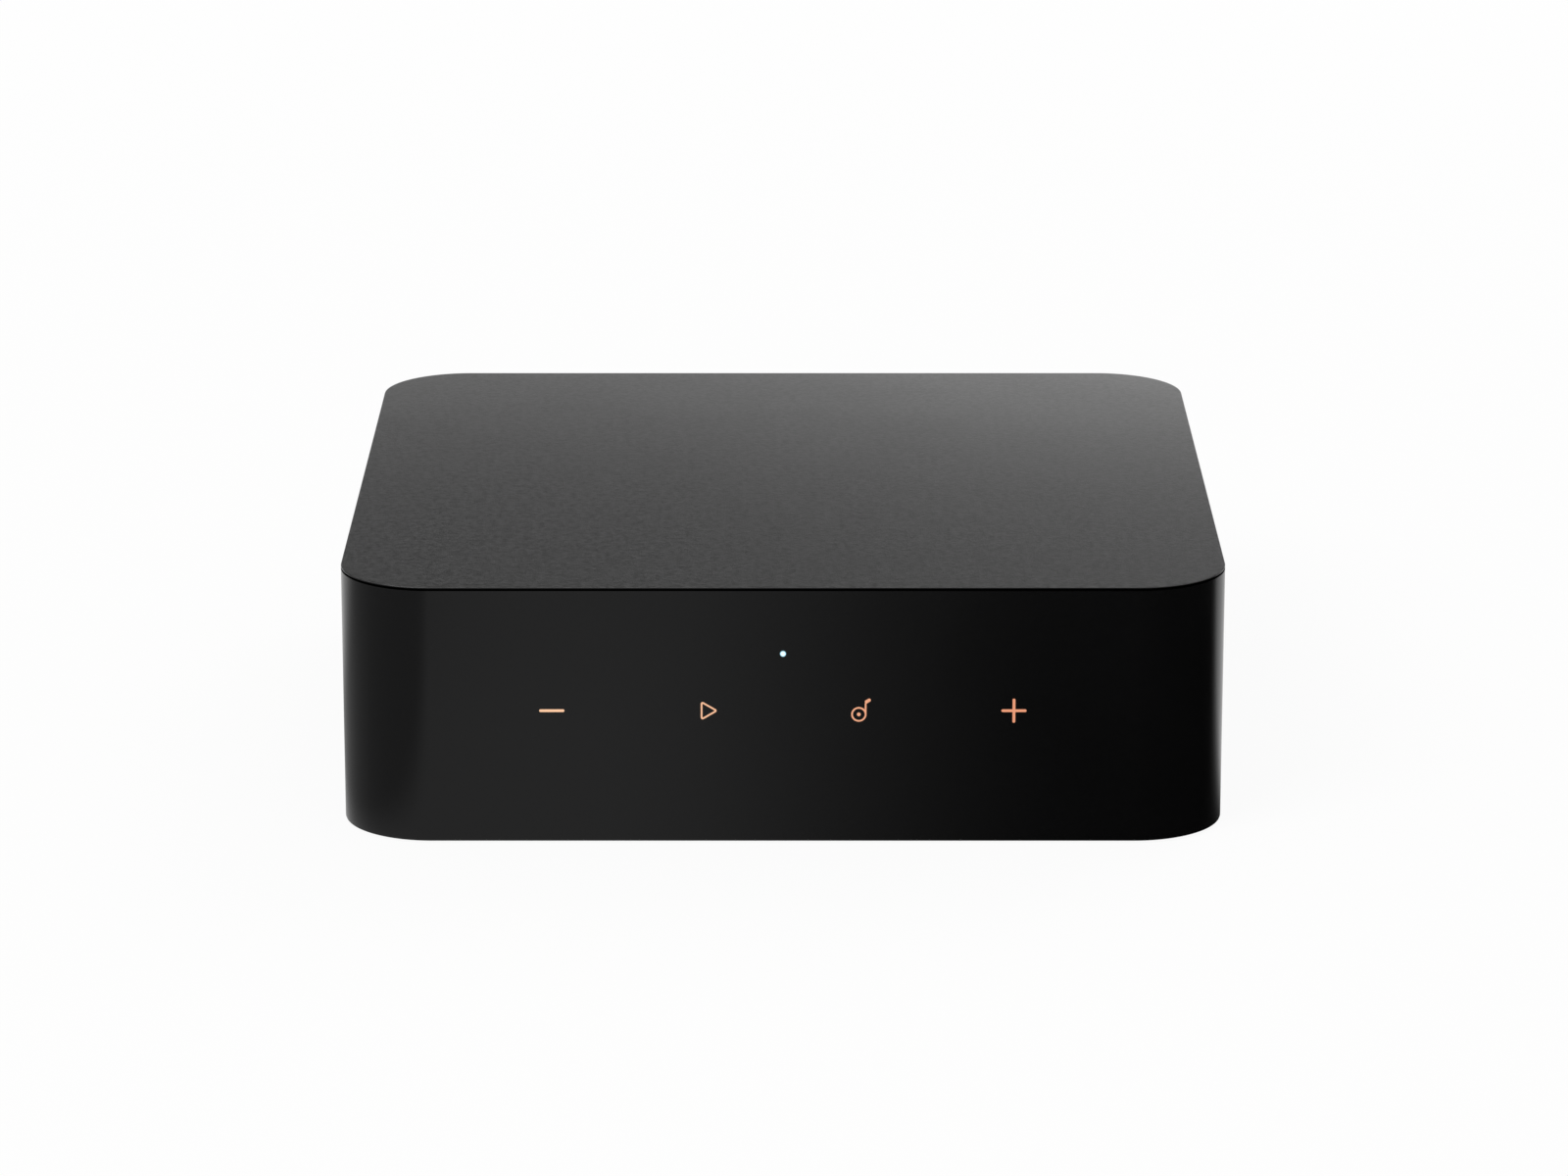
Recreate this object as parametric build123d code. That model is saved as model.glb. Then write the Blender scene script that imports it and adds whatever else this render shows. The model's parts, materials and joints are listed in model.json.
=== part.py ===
from build123d import *
import os

# A free-standing network music streamer: a low square box with rounded corners, touch signs on its front
# wall and its sockets on the rear. Millimetres, +Z up, +X to the right seen from the front, +Y to the rear.
# The origin is the middle of the case's footprint, on the surface that it stands on.

# Case
CASE_WIDTH = 140.0
CASE_DEPTH = 140.0
CASE_HEIGHT = 42.0
CORNER_RADIUS = 14.5
EDGE_CHAMFER = 0.4
SIDE_WALL = 2.2
ROOF_WALL = 2.4
FOOT_STAND = 0.6
DROP_GAP = 0.15
OVERRUN = 1.0
FEW_SIDES = 8
RING_SIDES = 24
SEAT_SIDES = 16
LEAD_SIDES = 6

SIDE = CASE_WIDTH / 2
FRONT = -CASE_DEPTH / 2
REAR = CASE_DEPTH / 2
INNER_SIDE = SIDE - SIDE_WALL
INNER_FRONT = FRONT + SIDE_WALL
INNER_REAR = REAR - SIDE_WALL
INNER_CORNER = CORNER_RADIUS - SIDE_WALL
CASE_BASE = FOOT_STAND
ROOF_UNDER = CASE_HEIGHT - ROOF_WALL

# Ribs under the roof
ROOF_RIB_THICK = 1.2
ROOF_RIB_DEPTH = 1.6
ROOF_RIB_COUNT = 5
ROOF_RIB_MARGIN = 12.0

# Screws
HEAD_RADIUS = 2.5
HEAD_HEIGHT = 1.6
SHANK_RADIUS = 1.3
SHANK_GAP = 0.1
HEAD_GAP = 0.2
DRIVE_WIDTH = 0.6
DRIVE_LENGTH = 2.8
DRIVE_DEPTH = 0.9
COVER_SHANK_LENGTH = 10.0
BOARD_SHANK_LENGTH = 4.6
PANEL_SHANK_LENGTH = 8.0
SCREW_TIP_ROOM = 0.4

# Bottom cover, with the wells of its corner screws
COVER_THICK = 2.0
COVER_LAP = 1.0
COVER_RIM_THICK = 1.2
COVER_RIM_HEIGHT = 2.0
SCREW_INSET = 13.5
WELL_RISE = 2.4
WELL_WALL = 1.4
WELL_FLOOR = 1.2
BOSS_RADIUS = 3.6
GUSSET_THICK = 1.2
COVER_RIB_THICK = 1.2
COVER_RIB_HEIGHT = 1.4
COVER_RIB_SPACING = 30.0
COVER_RIB_END_ROOM = 27.8

COVER_TOP = CASE_BASE + COVER_THICK
WELL_TOP = COVER_TOP + WELL_RISE
WELL_SEAT = WELL_TOP - WELL_FLOOR
WELL_RADIUS = HEAD_RADIUS + HEAD_GAP + WELL_WALL
SCREW_X = SIDE - SCREW_INSET
SCREW_Y = REAR - SCREW_INSET

# Foot ring, in a groove of the cover
FOOT_INSET = 6.0
FOOT_WIDTH = 9.0
FOOT_GROOVE = 0.8

# Main board on its posts
BOARD_THICK = 1.6
BOARD_LIFT = 3.4
BOARD_SIDE_ROOM = 7.8
BOARD_FRONT_ROOM = 23.8
BOARD_REAR_ROOM = 0.6
BOARD_TAIL_ROOM = 0.4
BOARD_SHOULDER_ROOM = 4.4
BOARD_CORNER = 2.0
POST_RADIUS = 3.0
POST_SIDE_INSET = 6.0
POST_END_INSET = 6.0

BOARD_BOTTOM = COVER_TOP + BOARD_LIFT
BOARD_TOP = BOARD_BOTTOM + BOARD_THICK

# Rear window and the socket panel that fills it
WINDOW_SIDE_MARGIN = 16.0
WINDOW_TOP_MARGIN = 5.0
WINDOW_SILL = 5.6
WINDOW_RADIUS = 3.0
PANEL_RECESS = 0.5
PANEL_FLANGE = 1.2
PANEL_LAP = 1.4
HOLE_GAP = 0.2
HOOK_HEIGHT = 8.0
HOOK_THICK = 1.3
HOOK_CATCH = 1.6
HOOK_GAP = 0.1
HOOK_SPACING = 18.0

TOWER_WIDTH = 7.0
TOWER_DEPTH = 9.0
TOWER_SCREW_DROP = 6.0
TOWER_GAP = 0.1

WINDOW_WIDTH = CASE_WIDTH - 2 * WINDOW_SIDE_MARGIN
WINDOW_LOW = CASE_BASE + WINDOW_SILL
WINDOW_HIGH = CASE_HEIGHT - WINDOW_TOP_MARGIN
PANEL_FACE = REAR - PANEL_RECESS
PANEL_BACK = INNER_REAR - PANEL_FLANGE
WINDOW_HEIGHT = WINDOW_HIGH - WINDOW_LOW
WINDOW_MIDDLE = (WINDOW_HIGH + WINDOW_LOW) / 2
BOARD_WIDTH = 2 * (INNER_SIDE - BOARD_SIDE_ROOM)
BOARD_TAIL_WIDTH = 2 * (SCREW_X - BOSS_RADIUS - BOARD_TAIL_ROOM)
BOARD_FRONT = INNER_FRONT + BOARD_FRONT_ROOM
BOARD_REAR = PANEL_BACK - BOARD_REAR_ROOM
BOARD_SHOULDER = SCREW_Y - BOSS_RADIUS - BOARD_SHOULDER_ROOM

# Phono sockets
PHONO_WIDTH = 11.0
PHONO_DEPTH = 13.0
PHONO_RISE = 5.6
PHONO_HEADROOM = 7.8
PHONO_CAP = 6.2
PHONO_CHAMFER = 0.8
PHONO_REACH = 9.0
COLLAR_RADIUS = 4.15
COLLAR_WALL = 0.5
COLLAR_SEAT_RADIUS = 4.75
COLLAR_SEAT_RISE = 0.5
CORE_GAP = 0.05
CORE_SET_BACK = 0.8
CONTACT_SET_BACK = 0.4
CONTACT_RADIUS = 1.6
CONTACT_WALL = 0.5
CONTACT_LENGTH = 7.0
PIN_ROOM = 4.5

# Optical sockets with their hinged shutters
OPTICAL_WIDTH = 10.6
OPTICAL_DEPTH = 15.0
OPTICAL_MOUTH = 8.1
OPTICAL_FLOOR = 1.2
OPTICAL_RIM = 0.8
OPTICAL_SIDE_ROOM = 0.55
OPTICAL_FLOOR_ROOM = 0.5
OPTICAL_CAVITY_DEPTH = 11.0
OPTICAL_ROOF = 0.7
FERRULE_RADIUS = 1.7
FERRULE_BORE = 1.15
FERRULE_LENGTH = 1.4
ELEMENT_THICK = 2.0
ELEMENT_INSET = 1.2
ELEMENT_LENS = 0.8
SHUTTER_GAP = 0.3
SHUTTER_THICK = 0.7
SHUTTER_STOW_GAP = 0.1
KNUCKLE_RADIUS = 0.8
KNUCKLE_SETBACK = 0.9
HINGE_PIN_RADIUS = 0.4
HINGE_PIN_GAP = 0.04
HINGE_PIN_GRIP = 0.45
HINGE_PIN_SEAT_GAP = 0.02
SPRING_WIDTH = 2.4
SPRING_THICK = 0.15
SPRING_GAP = 0.05
SPRING_LEG = 2.2
SPRING_ARM = 5.0
SPRING_BEND = 0.5

# Network socket
ETHERNET_WIDTH = 16.0
ETHERNET_HEIGHT = 13.4
ETHERNET_DEPTH = 17.0
SHIELD_THICK = 0.3
SHIELD_GAP = 0.05
PLUG_WIDTH = 11.9
PLUG_HEIGHT = 7.0
PLUG_DEPTH = 13.0
PLUG_ROOF = 2.2
LATCH_WIDTH = 6.4
LATCH_HEIGHT = 1.5
LATCH_STEP_WIDTH = 3.4
LATCH_STEP_HEIGHT = 1.3
LATCH_DEPTH = 8.5
SIGNAL_X = 4.6
SIGNAL_WIDTH = 2.6
SIGNAL_HEIGHT = 1.0
SIGNAL_DEPTH = 1.6
FINGER_COUNT = 8
FINGER_PITCH = 1.02
FINGER_WIDTH = 0.4
FINGER_THICK = 0.25
FINGER_FRONT = 4.4
FINGER_RUN = 6.6
FINGER_DROP = 2.3
FINGER_TAIL = 1.6
FINGER_CEILING_GAP = 0.1

# Trigger socket
TRIGGER_WIDTH = 7.0
TRIGGER_HEIGHT = 6.4
TRIGGER_DEPTH = 12.0
TRIGGER_RISE = 3.2
TRIGGER_BORE = 2.2
TRIGGER_BACK_WALL = 1.2
NOSE_BORE = 1.8
NOSE_RADIUS = 2.9
NOSE_STAND = 2.2
SPRING_SLOT_WIDTH = 1.4
SPRING_SLOT_LENGTH = 5.0
TRIGGER_SPRING_THICK = 0.3
TRIGGER_SPRING_DIP = 0.5

# Reset key and its switch
RESET_WIDTH = 6.0
RESET_HEIGHT = 6.0
RESET_SWITCH_DEPTH = 4.2
RESET_RISE = 3.4
RESET_CAP_RADIUS = 1.8
RESET_CAP_STAND = 0.6
RESET_GAP = 0.3
RESET_COLLAR_RADIUS = 2.5
RESET_COLLAR_THICK = 0.6
RESET_COLLAR_GAP = 0.3
RESET_STEM_LENGTH = 2.2
RESET_STEM_RADIUS = 1.5
RESET_TRAVEL = 0.4
PLUNGER_RADIUS = 1.2
PLUNGER_STAND = 1.4
PLUNGER_SUNK = 0.9
PLUNGER_GAP = 0.3
PLUNGER_POCKET_ROOM = 0.3

# Power socket
POWER_WIDTH = 8.94
POWER_HEIGHT = 3.26
POWER_DEPTH = 8.4
POWER_SETBACK = 0.4
POWER_METAL = 0.3
TONGUE_WIDTH = 6.7
TONGUE_THICK = 0.7
TONGUE_SET_BACK = 0.9
TONGUE_BASE = 1.6

SOCKET_GAP = 1.5
ROW_WIDTHS = (
    PHONO_WIDTH,
    PHONO_WIDTH,
    PHONO_WIDTH,
    OPTICAL_WIDTH,
    OPTICAL_WIDTH,
    ETHERNET_WIDTH,
    TRIGGER_WIDTH,
    RESET_WIDTH,
    POWER_WIDTH,
)

# Touch board behind the front wall
TOUCH_PITCH = 24.2
TOUCH_DROP = 20.1
TOUCH_PAD_RADIUS = 5.5
TOUCH_PAD_COUNT = 4
TOUCH_STANDOFF = 1.6
TOUCH_BOARD_END = 9.7
TOUCH_BOARD_ABOVE = 3.8
TOUCH_BOARD_BELOW = 8.9
TOUCH_BOARD_THICK = 1.0
RAIL_GAP = 0.1
RAIL_WALL = 1.2
RAIL_LIP = 1.6

# Status light
LIGHT_DROP = 10.8
LIGHT_RADIUS = 0.5
LIGHT_GAP = 0.05
LIGHT_FLANGE_RADIUS = 1.5
LIGHT_FLANGE_THICK = 0.6
LED_WIDTH = 1.6
LED_HEIGHT = 0.9
LED_THICK = 0.6

# Ribbon between the touch board and the main board
RIBBON_WIDTH = 8.0
RIBBON_THICK = 0.3
RIBBON_BEND_SHARE = 0.57
RIBBON_SOCKET_WIDTH = 10.5
RIBBON_SOCKET_LENGTH = 4.0
RIBBON_SOCKET_THICK = 1.8
RIBBON_SOCKET_RISE = 2.5
RIBBON_SOCKET_INSET = 3.0

# Streaming module, its shield and heat sink
MODULE_SIZE = 32.0
MODULE_THICK = 1.0
MODULE_FRONT_ROOM = 30.0
CAN_SIZE = 27.0
CAN_HEIGHT = 2.4
CAN_METAL = 0.3
CAN_CORNER = 1.0
THERMAL_PAD_SIZE = 20.0
THERMAL_PAD_THICK = 0.8
SINK_SIZE = 26.0
SINK_BASE = 2.0
SINK_HEIGHT = 13.0
SINK_FIN_THICK = 1.0
SINK_FIN_COUNT = 8

# Parts soldered to the main board
CHIP_SIZE = 7.0
CHIP_THICK = 1.2
CHIP_REAR_ROOM = 32.0
CHIP_PITCH = 13.0
CHIP_COUNT = 3
CAPACITOR_RADIUS = 3.15
CAPACITOR_HEIGHT = 7.7
CAPACITOR_BASE = 6.6
CAPACITOR_BASE_THICK = 0.9
CAPACITOR_CHAMFER = 1.4
CAPACITOR_PITCH = 9.0
CAPACITOR_COUNT = 4
CAPACITOR_REAR_ROOM = 44.0
COIL_SIZE = 6.6
COIL_HEIGHT = 3.0
COIL_CHAMFER = 1.2
COIL_PITCH = 9.0
COIL_COUNT = 3
COIL_REAR_ROOM = 32.0
MAGNETICS_WIDTH = 15.0
MAGNETICS_DEPTH = 10.0
MAGNETICS_HEIGHT = 5.2
MAGNETICS_ROOM = 2.0
CRYSTAL_WIDTH = 5.0
CRYSTAL_DEPTH = 3.2
CRYSTAL_HEIGHT = 1.1
CRYSTAL_X = 22.0
CRYSTAL_REAR_ROOM = 58.0

# Aerials on the side walls and their leads
AERIAL_LENGTH = 38.0
AERIAL_HEIGHT = 9.0
AERIAL_THICK = 0.5
AERIAL_Y_OFFSET = 4.0
AERIAL_DROP = 18.0
AERIAL_NOTCH_LENGTH = 9.0
AERIAL_NOTCH_HEIGHT = 4.0
LEAD_RADIUS = 0.55
LEAD_WALL_ROOM = 5.3
LEAD_BEND = 3.0
LEAD_LIFT = 0.45
LEAD_PLUG_SIZE = 2.6
LEAD_PLUG_HEIGHT = 1.9
LEAD_PLUG_X = 22.0


def block(x_low, x_high, y_low, y_high, z_low, z_high):
    """A square-edged block between two corners."""
    size = Box(x_high - x_low, y_high - y_low, z_high - z_low)
    return Pos((x_low + x_high) / 2, (y_low + y_high) / 2, (z_low + z_high) / 2) * size


def slab(width, depth, radius, z_low, z_high):
    """An upright slab with rounded corners, centred on the case."""
    return Pos(0, 0, z_low) * extrude(RectangleRounded(width, depth, radius), amount=z_high - z_low)


def faceted(radius, sides=FEW_SIDES):
    """The outline of a round made of flats, whose flats touch the circle."""
    return RegularPolygon(radius, sides, major_radius=False)


def peg(x, y, radius, z_low, z_high):
    """An upright hidden post with few sides."""
    return Pos(x, y, z_low) * extrude(faceted(radius), amount=z_high - z_low)


def dowel(x, z, radius, y_low, y_high, sides=FEW_SIDES):
    """A rod made of flats that runs front to rear."""
    return along_y(faceted(radius, sides), x, z, y_low, y_high)


def rod(x, z, radius, y_low, y_high):
    """A round rod that runs front to rear."""
    return Pos(x, (y_low + y_high) / 2, z) * Rot(90, 0, 0) * Cylinder(radius, y_high - y_low)


def axle(y, z, radius, x_low, x_high):
    """A round rod that runs left to right."""
    return Pos((x_low + x_high) / 2, y, z) * Rot(0, 90, 0) * Cylinder(radius, x_high - x_low)


def along_y(outline, x, z, y_low, y_high):
    """An outline drawn as seen from the front, run from one depth to another."""
    return Pos(x, y_high, z) * Plane.XZ.location * extrude(outline, amount=y_high - y_low)


def group(solids):
    """Separate solids that share one node."""
    return Compound(children=list(solids))


def corners(x, y):
    """The four places at plus and minus x and y."""
    return [(sx * x, sy * y) for sx in (-1, 1) for sy in (-1, 1)]


def row_places():
    """The middle of each rear socket, from the right-hand end seen from the front."""
    places = []
    edge = (sum(ROW_WIDTHS) + SOCKET_GAP * (len(ROW_WIDTHS) - 1)) / 2
    for width in ROW_WIDTHS:
        places.append(edge - width / 2)
        edge -= width + SOCKET_GAP
    return places


(
    LINE_IN_X,
    LINE_OUT_X,
    COAX_X,
    OPTICAL_OUT_X,
    OPTICAL_IN_X,
    ETHERNET_X,
    TRIGGER_X,
    RESET_X,
    POWER_X,
) = row_places()

TOUCH_HEIGHT = CASE_HEIGHT - TOUCH_DROP
LIGHT_HEIGHT = CASE_HEIGHT - LIGHT_DROP
TOUCH_BOARD_WIDTH = (TOUCH_PAD_COUNT - 1) * TOUCH_PITCH + 2 * TOUCH_BOARD_END
TOUCH_BOARD_LOW = TOUCH_HEIGHT - TOUCH_BOARD_BELOW
TOUCH_BOARD_HIGH = LIGHT_HEIGHT + TOUCH_BOARD_ABOVE
TOUCH_BOARD_FRONT = INNER_FRONT + TOUCH_STANDOFF
TOUCH_BOARD_BACK = TOUCH_BOARD_FRONT + TOUCH_BOARD_THICK
PHONO_LOW_Z = BOARD_TOP + PHONO_RISE
PHONO_HIGH_Z = WINDOW_HIGH - PHONO_HEADROOM
PHONO_TIP = PANEL_FACE + PHONO_REACH
PHONO_PLACES = (
    (LINE_IN_X, PHONO_LOW_Z),
    (LINE_IN_X, PHONO_HIGH_Z),
    (LINE_OUT_X, PHONO_LOW_Z),
    (LINE_OUT_X, PHONO_HIGH_Z),
    (COAX_X, PHONO_LOW_Z),
)
OPTICAL_MOUTH_Z = BOARD_TOP + OPTICAL_FLOOR + OPTICAL_MOUTH / 2
OPTICAL_CAVITY_LOW = BOARD_TOP + OPTICAL_FLOOR - OPTICAL_FLOOR_ROOM
OPTICAL_CAVITY_WIDTH = OPTICAL_MOUTH + 2 * OPTICAL_SIDE_ROOM
SHUTTER_FRONT = PANEL_FACE - OPTICAL_RIM - SHUTTER_GAP
HINGE_Y = SHUTTER_FRONT - KNUCKLE_SETBACK
HINGE_Z = OPTICAL_MOUTH_Z + OPTICAL_MOUTH / 2 + KNUCKLE_SETBACK + SHUTTER_STOW_GAP
OPTICAL_CAVITY_HIGH = HINGE_Z + KNUCKLE_RADIUS + SHUTTER_GAP
OPTICAL_HEIGHT = OPTICAL_CAVITY_HIGH + OPTICAL_ROOF - BOARD_TOP
TRIGGER_Z = BOARD_TOP + TRIGGER_RISE
RESET_Z = BOARD_TOP + RESET_RISE
POWER_Z = BOARD_TOP + POWER_HEIGHT / 2
ETHERNET_Z = BOARD_TOP + ETHERNET_HEIGHT / 2
PANEL_SCREW_X = (LINE_IN_X + LINE_OUT_X) / 2
PANEL_SCREW_Z = (PHONO_LOW_Z + PHONO_HIGH_Z) / 2
TOWER_X = (OPTICAL_IN_X + ETHERNET_X) / 2
TOWER_SCREW_Z = WINDOW_HIGH - TOWER_SCREW_DROP


# Case


def screw(shank_length):
    """A pan-head screw with a cross recess, pointing up, its head's bearing face at the origin."""
    head = Pos(0, 0, -HEAD_HEIGHT / 2) * Cylinder(HEAD_RADIUS, HEAD_HEIGHT)
    recess_z = DRIVE_DEPTH / 2 - HEAD_HEIGHT
    recess = Pos(0, 0, recess_z) * Box(DRIVE_LENGTH, DRIVE_WIDTH, DRIVE_DEPTH)
    recess += Pos(0, 0, recess_z) * Box(DRIVE_WIDTH, DRIVE_LENGTH, DRIVE_DEPTH)
    return head - recess + peg(0, 0, SHANK_RADIUS, 0, shank_length)


def hidden_screw(shank_length):
    """A screw that no side of the case shows, pointing up, with few sides and no recess."""
    return peg(0, 0, HEAD_RADIUS, -HEAD_HEIGHT, 0) + peg(0, 0, SHANK_RADIUS, 0, shank_length)


def boss_with_gussets(x, y):
    """A screw boss in a corner of the shell, tied to both walls, and the hole up its middle."""
    side = 1 if x > 0 else -1
    end = 1 if y > 0 else -1
    boss = peg(x, y, BOSS_RADIUS, WELL_TOP, ROOF_UNDER)
    wall_x = side * (INNER_SIDE + SIDE_WALL / 2)
    wall_y = end * (INNER_REAR + SIDE_WALL / 2)
    low_x, high_x = sorted((x, wall_x))
    low_y, high_y = sorted((y, wall_y))
    half = GUSSET_THICK / 2
    boss += block(low_x, high_x, y - half, y + half, WELL_TOP, ROOF_UNDER)
    boss += block(x - half, x + half, low_y, high_y, WELL_TOP, ROOF_UNDER)
    pilot_top = WELL_SEAT + COVER_SHANK_LENGTH + SCREW_TIP_ROOM
    pilot = peg(x, y, SHANK_RADIUS + SHANK_GAP, WELL_TOP - OVERRUN, pilot_top)
    return boss, pilot


def snap_hook(side, z):
    """A hook on the rear wall that holds one end of the socket panel."""
    flange_end = WINDOW_WIDTH / 2 + PANEL_LAP
    inner = flange_end - HOOK_CATCH
    outer = flange_end + HOOK_GAP + HOOK_THICK
    low = z - HOOK_HEIGHT / 2
    high = z + HOOK_HEIGHT / 2
    back = PANEL_BACK - HOOK_GAP
    stem = block(flange_end + HOOK_GAP, outer, back - HOOK_THICK, INNER_REAR + SIDE_WALL / 2, low, high)
    catch = block(inner, outer, back - HOOK_THICK, back, low, high)
    catch = chamfer(catch.edges().filter_by(Axis.Z).group_by(Axis.X)[0].sort_by(Axis.Y)[0], HOOK_THICK / 2)
    hook = stem + catch
    return hook if side > 0 else mirror(hook, about=Plane.YZ)


def touch_rail(side):
    """A slotted rail on the front wall that takes one end of the touch board from below."""
    inner = TOUCH_BOARD_WIDTH / 2 + RAIL_GAP
    outer = inner + RAIL_WALL
    wall = INNER_FRONT - SIDE_WALL / 2
    lip_front = TOUCH_BOARD_BACK + RAIL_GAP
    lip_back = lip_front + RAIL_WALL
    rail = block(inner, outer, wall, lip_back, TOUCH_BOARD_LOW, TOUCH_BOARD_HIGH)
    rail += block(inner - RAIL_LIP, outer, lip_front, lip_back, TOUCH_BOARD_LOW, TOUCH_BOARD_HIGH)
    return rail if side > 0 else mirror(rail, about=Plane.YZ)


def screw_tower():
    """The block that hangs from the roof behind the panel, and the hole for the panel's second screw."""
    half = TOWER_WIDTH / 2
    rear = PANEL_BACK - TOWER_GAP
    low = TOWER_SCREW_Z - half
    tower = block(TOWER_X - half, TOWER_X + half, rear - TOWER_DEPTH, rear, low, ROOF_UNDER + ROOF_WALL / 2)
    tip = PANEL_FACE - PANEL_SHANK_LENGTH - SCREW_TIP_ROOM
    return tower, dowel(TOWER_X, TOWER_SCREW_Z, SHANK_RADIUS + SHANK_GAP, tip, PANEL_BACK + OVERRUN)


def top_shell():
    """The moulded roof and four walls in one piece, open below, with a window for the socket panel."""
    shell = slab(CASE_WIDTH, CASE_DEPTH, CORNER_RADIUS, CASE_BASE, CASE_HEIGHT)
    shell = chamfer(shell.faces().sort_by(Axis.Z)[-1].edges(), EDGE_CHAMFER)
    shell -= slab(2 * INNER_SIDE, 2 * INNER_REAR, INNER_CORNER, CASE_BASE - OVERRUN, ROOF_UNDER)
    lap_side = INNER_SIDE + COVER_LAP
    lap_end = INNER_REAR + COVER_LAP
    shell -= slab(2 * lap_side, 2 * lap_end, INNER_CORNER + COVER_LAP, CASE_BASE - OVERRUN, COVER_TOP)
    holes = []
    for x, y in corners(SCREW_X, SCREW_Y):
        boss, pilot = boss_with_gussets(x, y)
        shell += boss
        holes.append(pilot)
    tower, pilot = screw_tower()
    shell += tower
    holes.append(pilot)
    rib_reach = INNER_SIDE - ROOF_RIB_MARGIN
    for i in range(ROOF_RIB_COUNT):
        y = INNER_REAR * (2 * (i + 1) / (ROOF_RIB_COUNT + 1) - 1)
        half = ROOF_RIB_THICK / 2
        rib_low = ROOF_UNDER - ROOF_RIB_DEPTH
        shell += block(-rib_reach, rib_reach, y - half, y + half, rib_low, ROOF_UNDER + ROOF_WALL / 2)
    window = RectangleRounded(WINDOW_WIDTH, WINDOW_HEIGHT, WINDOW_RADIUS)
    shell -= along_y(window, 0, WINDOW_MIDDLE, INNER_REAR - OVERRUN, REAR + OVERRUN)
    for side in (-1, 1):
        shell += touch_rail(side)
        for z in (WINDOW_MIDDLE - HOOK_SPACING / 2, WINDOW_MIDDLE + HOOK_SPACING / 2):
            shell += snap_hook(side, z)
    holes.append(rod(0, LIGHT_HEIGHT, LIGHT_RADIUS + LIGHT_GAP, FRONT - OVERRUN, INNER_FRONT + OVERRUN))
    for hole in holes:
        shell -= hole
    return shell


def bottom_cover():
    """The plate that closes the shell from below, with screw wells, board posts and the foot's groove."""
    lap = COVER_LAP - DROP_GAP
    plate = slab(2 * (INNER_SIDE + lap), 2 * (INNER_REAR + lap), INNER_CORNER + lap, CASE_BASE, COVER_TOP)
    rim_side = INNER_SIDE - DROP_GAP
    rim_end = INNER_REAR - DROP_GAP
    rim_top = COVER_TOP + COVER_RIM_HEIGHT
    reach_x = INNER_SIDE - INNER_CORNER
    reach_y = INNER_REAR - INNER_CORNER
    inner_side = rim_side - COVER_RIM_THICK
    inner_end = rim_end - COVER_RIM_THICK
    cover = plate + block(inner_side, rim_side, -reach_y, reach_y, COVER_TOP, rim_top)
    cover += block(-rim_side, -inner_side, -reach_y, reach_y, COVER_TOP, rim_top)
    cover += block(-reach_x, reach_x, inner_end, rim_end, COVER_TOP, rim_top)
    cover += block(-reach_x, reach_x, -rim_end, -inner_end, COVER_TOP, rim_top)
    for x, y in corners(SCREW_X, SCREW_Y):
        cover += peg(x, y, WELL_RADIUS, COVER_TOP, WELL_TOP)
    for x, y in board_screw_places():
        cover += peg(x, y, POST_RADIUS, COVER_TOP, BOARD_BOTTOM)
    for step in (-1, 0, 1):
        middle = step * COVER_RIB_SPACING
        half = COVER_RIB_THICK / 2
        reach = INNER_REAR - COVER_RIB_END_ROOM
        rib_top = COVER_TOP + COVER_RIB_HEIGHT
        cover += block(middle - half, middle + half, -reach, reach, COVER_TOP, rib_top)
    cover -= extrude_up(foot_band(0), CASE_BASE - OVERRUN, CASE_BASE + FOOT_GROOVE)
    for x, y in corners(SCREW_X, SCREW_Y):
        cover -= peg(x, y, HEAD_RADIUS + HEAD_GAP, CASE_BASE - OVERRUN, WELL_SEAT)
        cover -= peg(x, y, SHANK_RADIUS + SHANK_GAP, WELL_SEAT - OVERRUN, WELL_TOP + OVERRUN)
    pilot_low = BOARD_TOP - BOARD_SHANK_LENGTH - SCREW_TIP_ROOM
    for x, y in board_screw_places():
        cover -= peg(x, y, SHANK_RADIUS + SHANK_GAP, pilot_low, BOARD_BOTTOM + OVERRUN)
    return cover


def foot_band(gap):
    """The outline of the foot ring, taken in by a gap all round."""
    outer_side = SIDE - FOOT_INSET - gap
    outer_end = REAR - FOOT_INSET - gap
    outer_corner = CORNER_RADIUS - gap
    inner_side = SIDE - FOOT_INSET - FOOT_WIDTH + gap
    inner_end = REAR - FOOT_INSET - FOOT_WIDTH + gap
    inner_corner = CORNER_RADIUS - FOOT_WIDTH + gap
    outer = RectangleRounded(2 * outer_side, 2 * outer_end, outer_corner)
    return outer - RectangleRounded(2 * inner_side, 2 * inner_end, inner_corner)


def extrude_up(outline, z_low, z_high):
    """A flat outline raised from one height to another."""
    return Pos(0, 0, z_low) * extrude(outline, amount=z_high - z_low)


def foot_ring():
    """The soft ring that the case stands on, which hides the cover's screws."""
    return extrude_up(foot_band(DROP_GAP), 0, CASE_BASE + FOOT_GROOVE)


def cover_screws():
    """The four corner screws, up through the cover into the shell."""
    places = corners(SCREW_X, SCREW_Y)
    return group([Pos(x, y, WELL_SEAT) * hidden_screw(COVER_SHANK_LENGTH) for x, y in places])


# Main board


def board_screw_places():
    """Where the main board is screwed to its posts."""
    side = BOARD_WIDTH / 2 - POST_SIDE_INSET
    front = BOARD_FRONT + POST_END_INSET
    rear = BOARD_SHOULDER - POST_END_INSET
    return [(x, y) for x in (-side, side) for y in (front, rear)]


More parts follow.
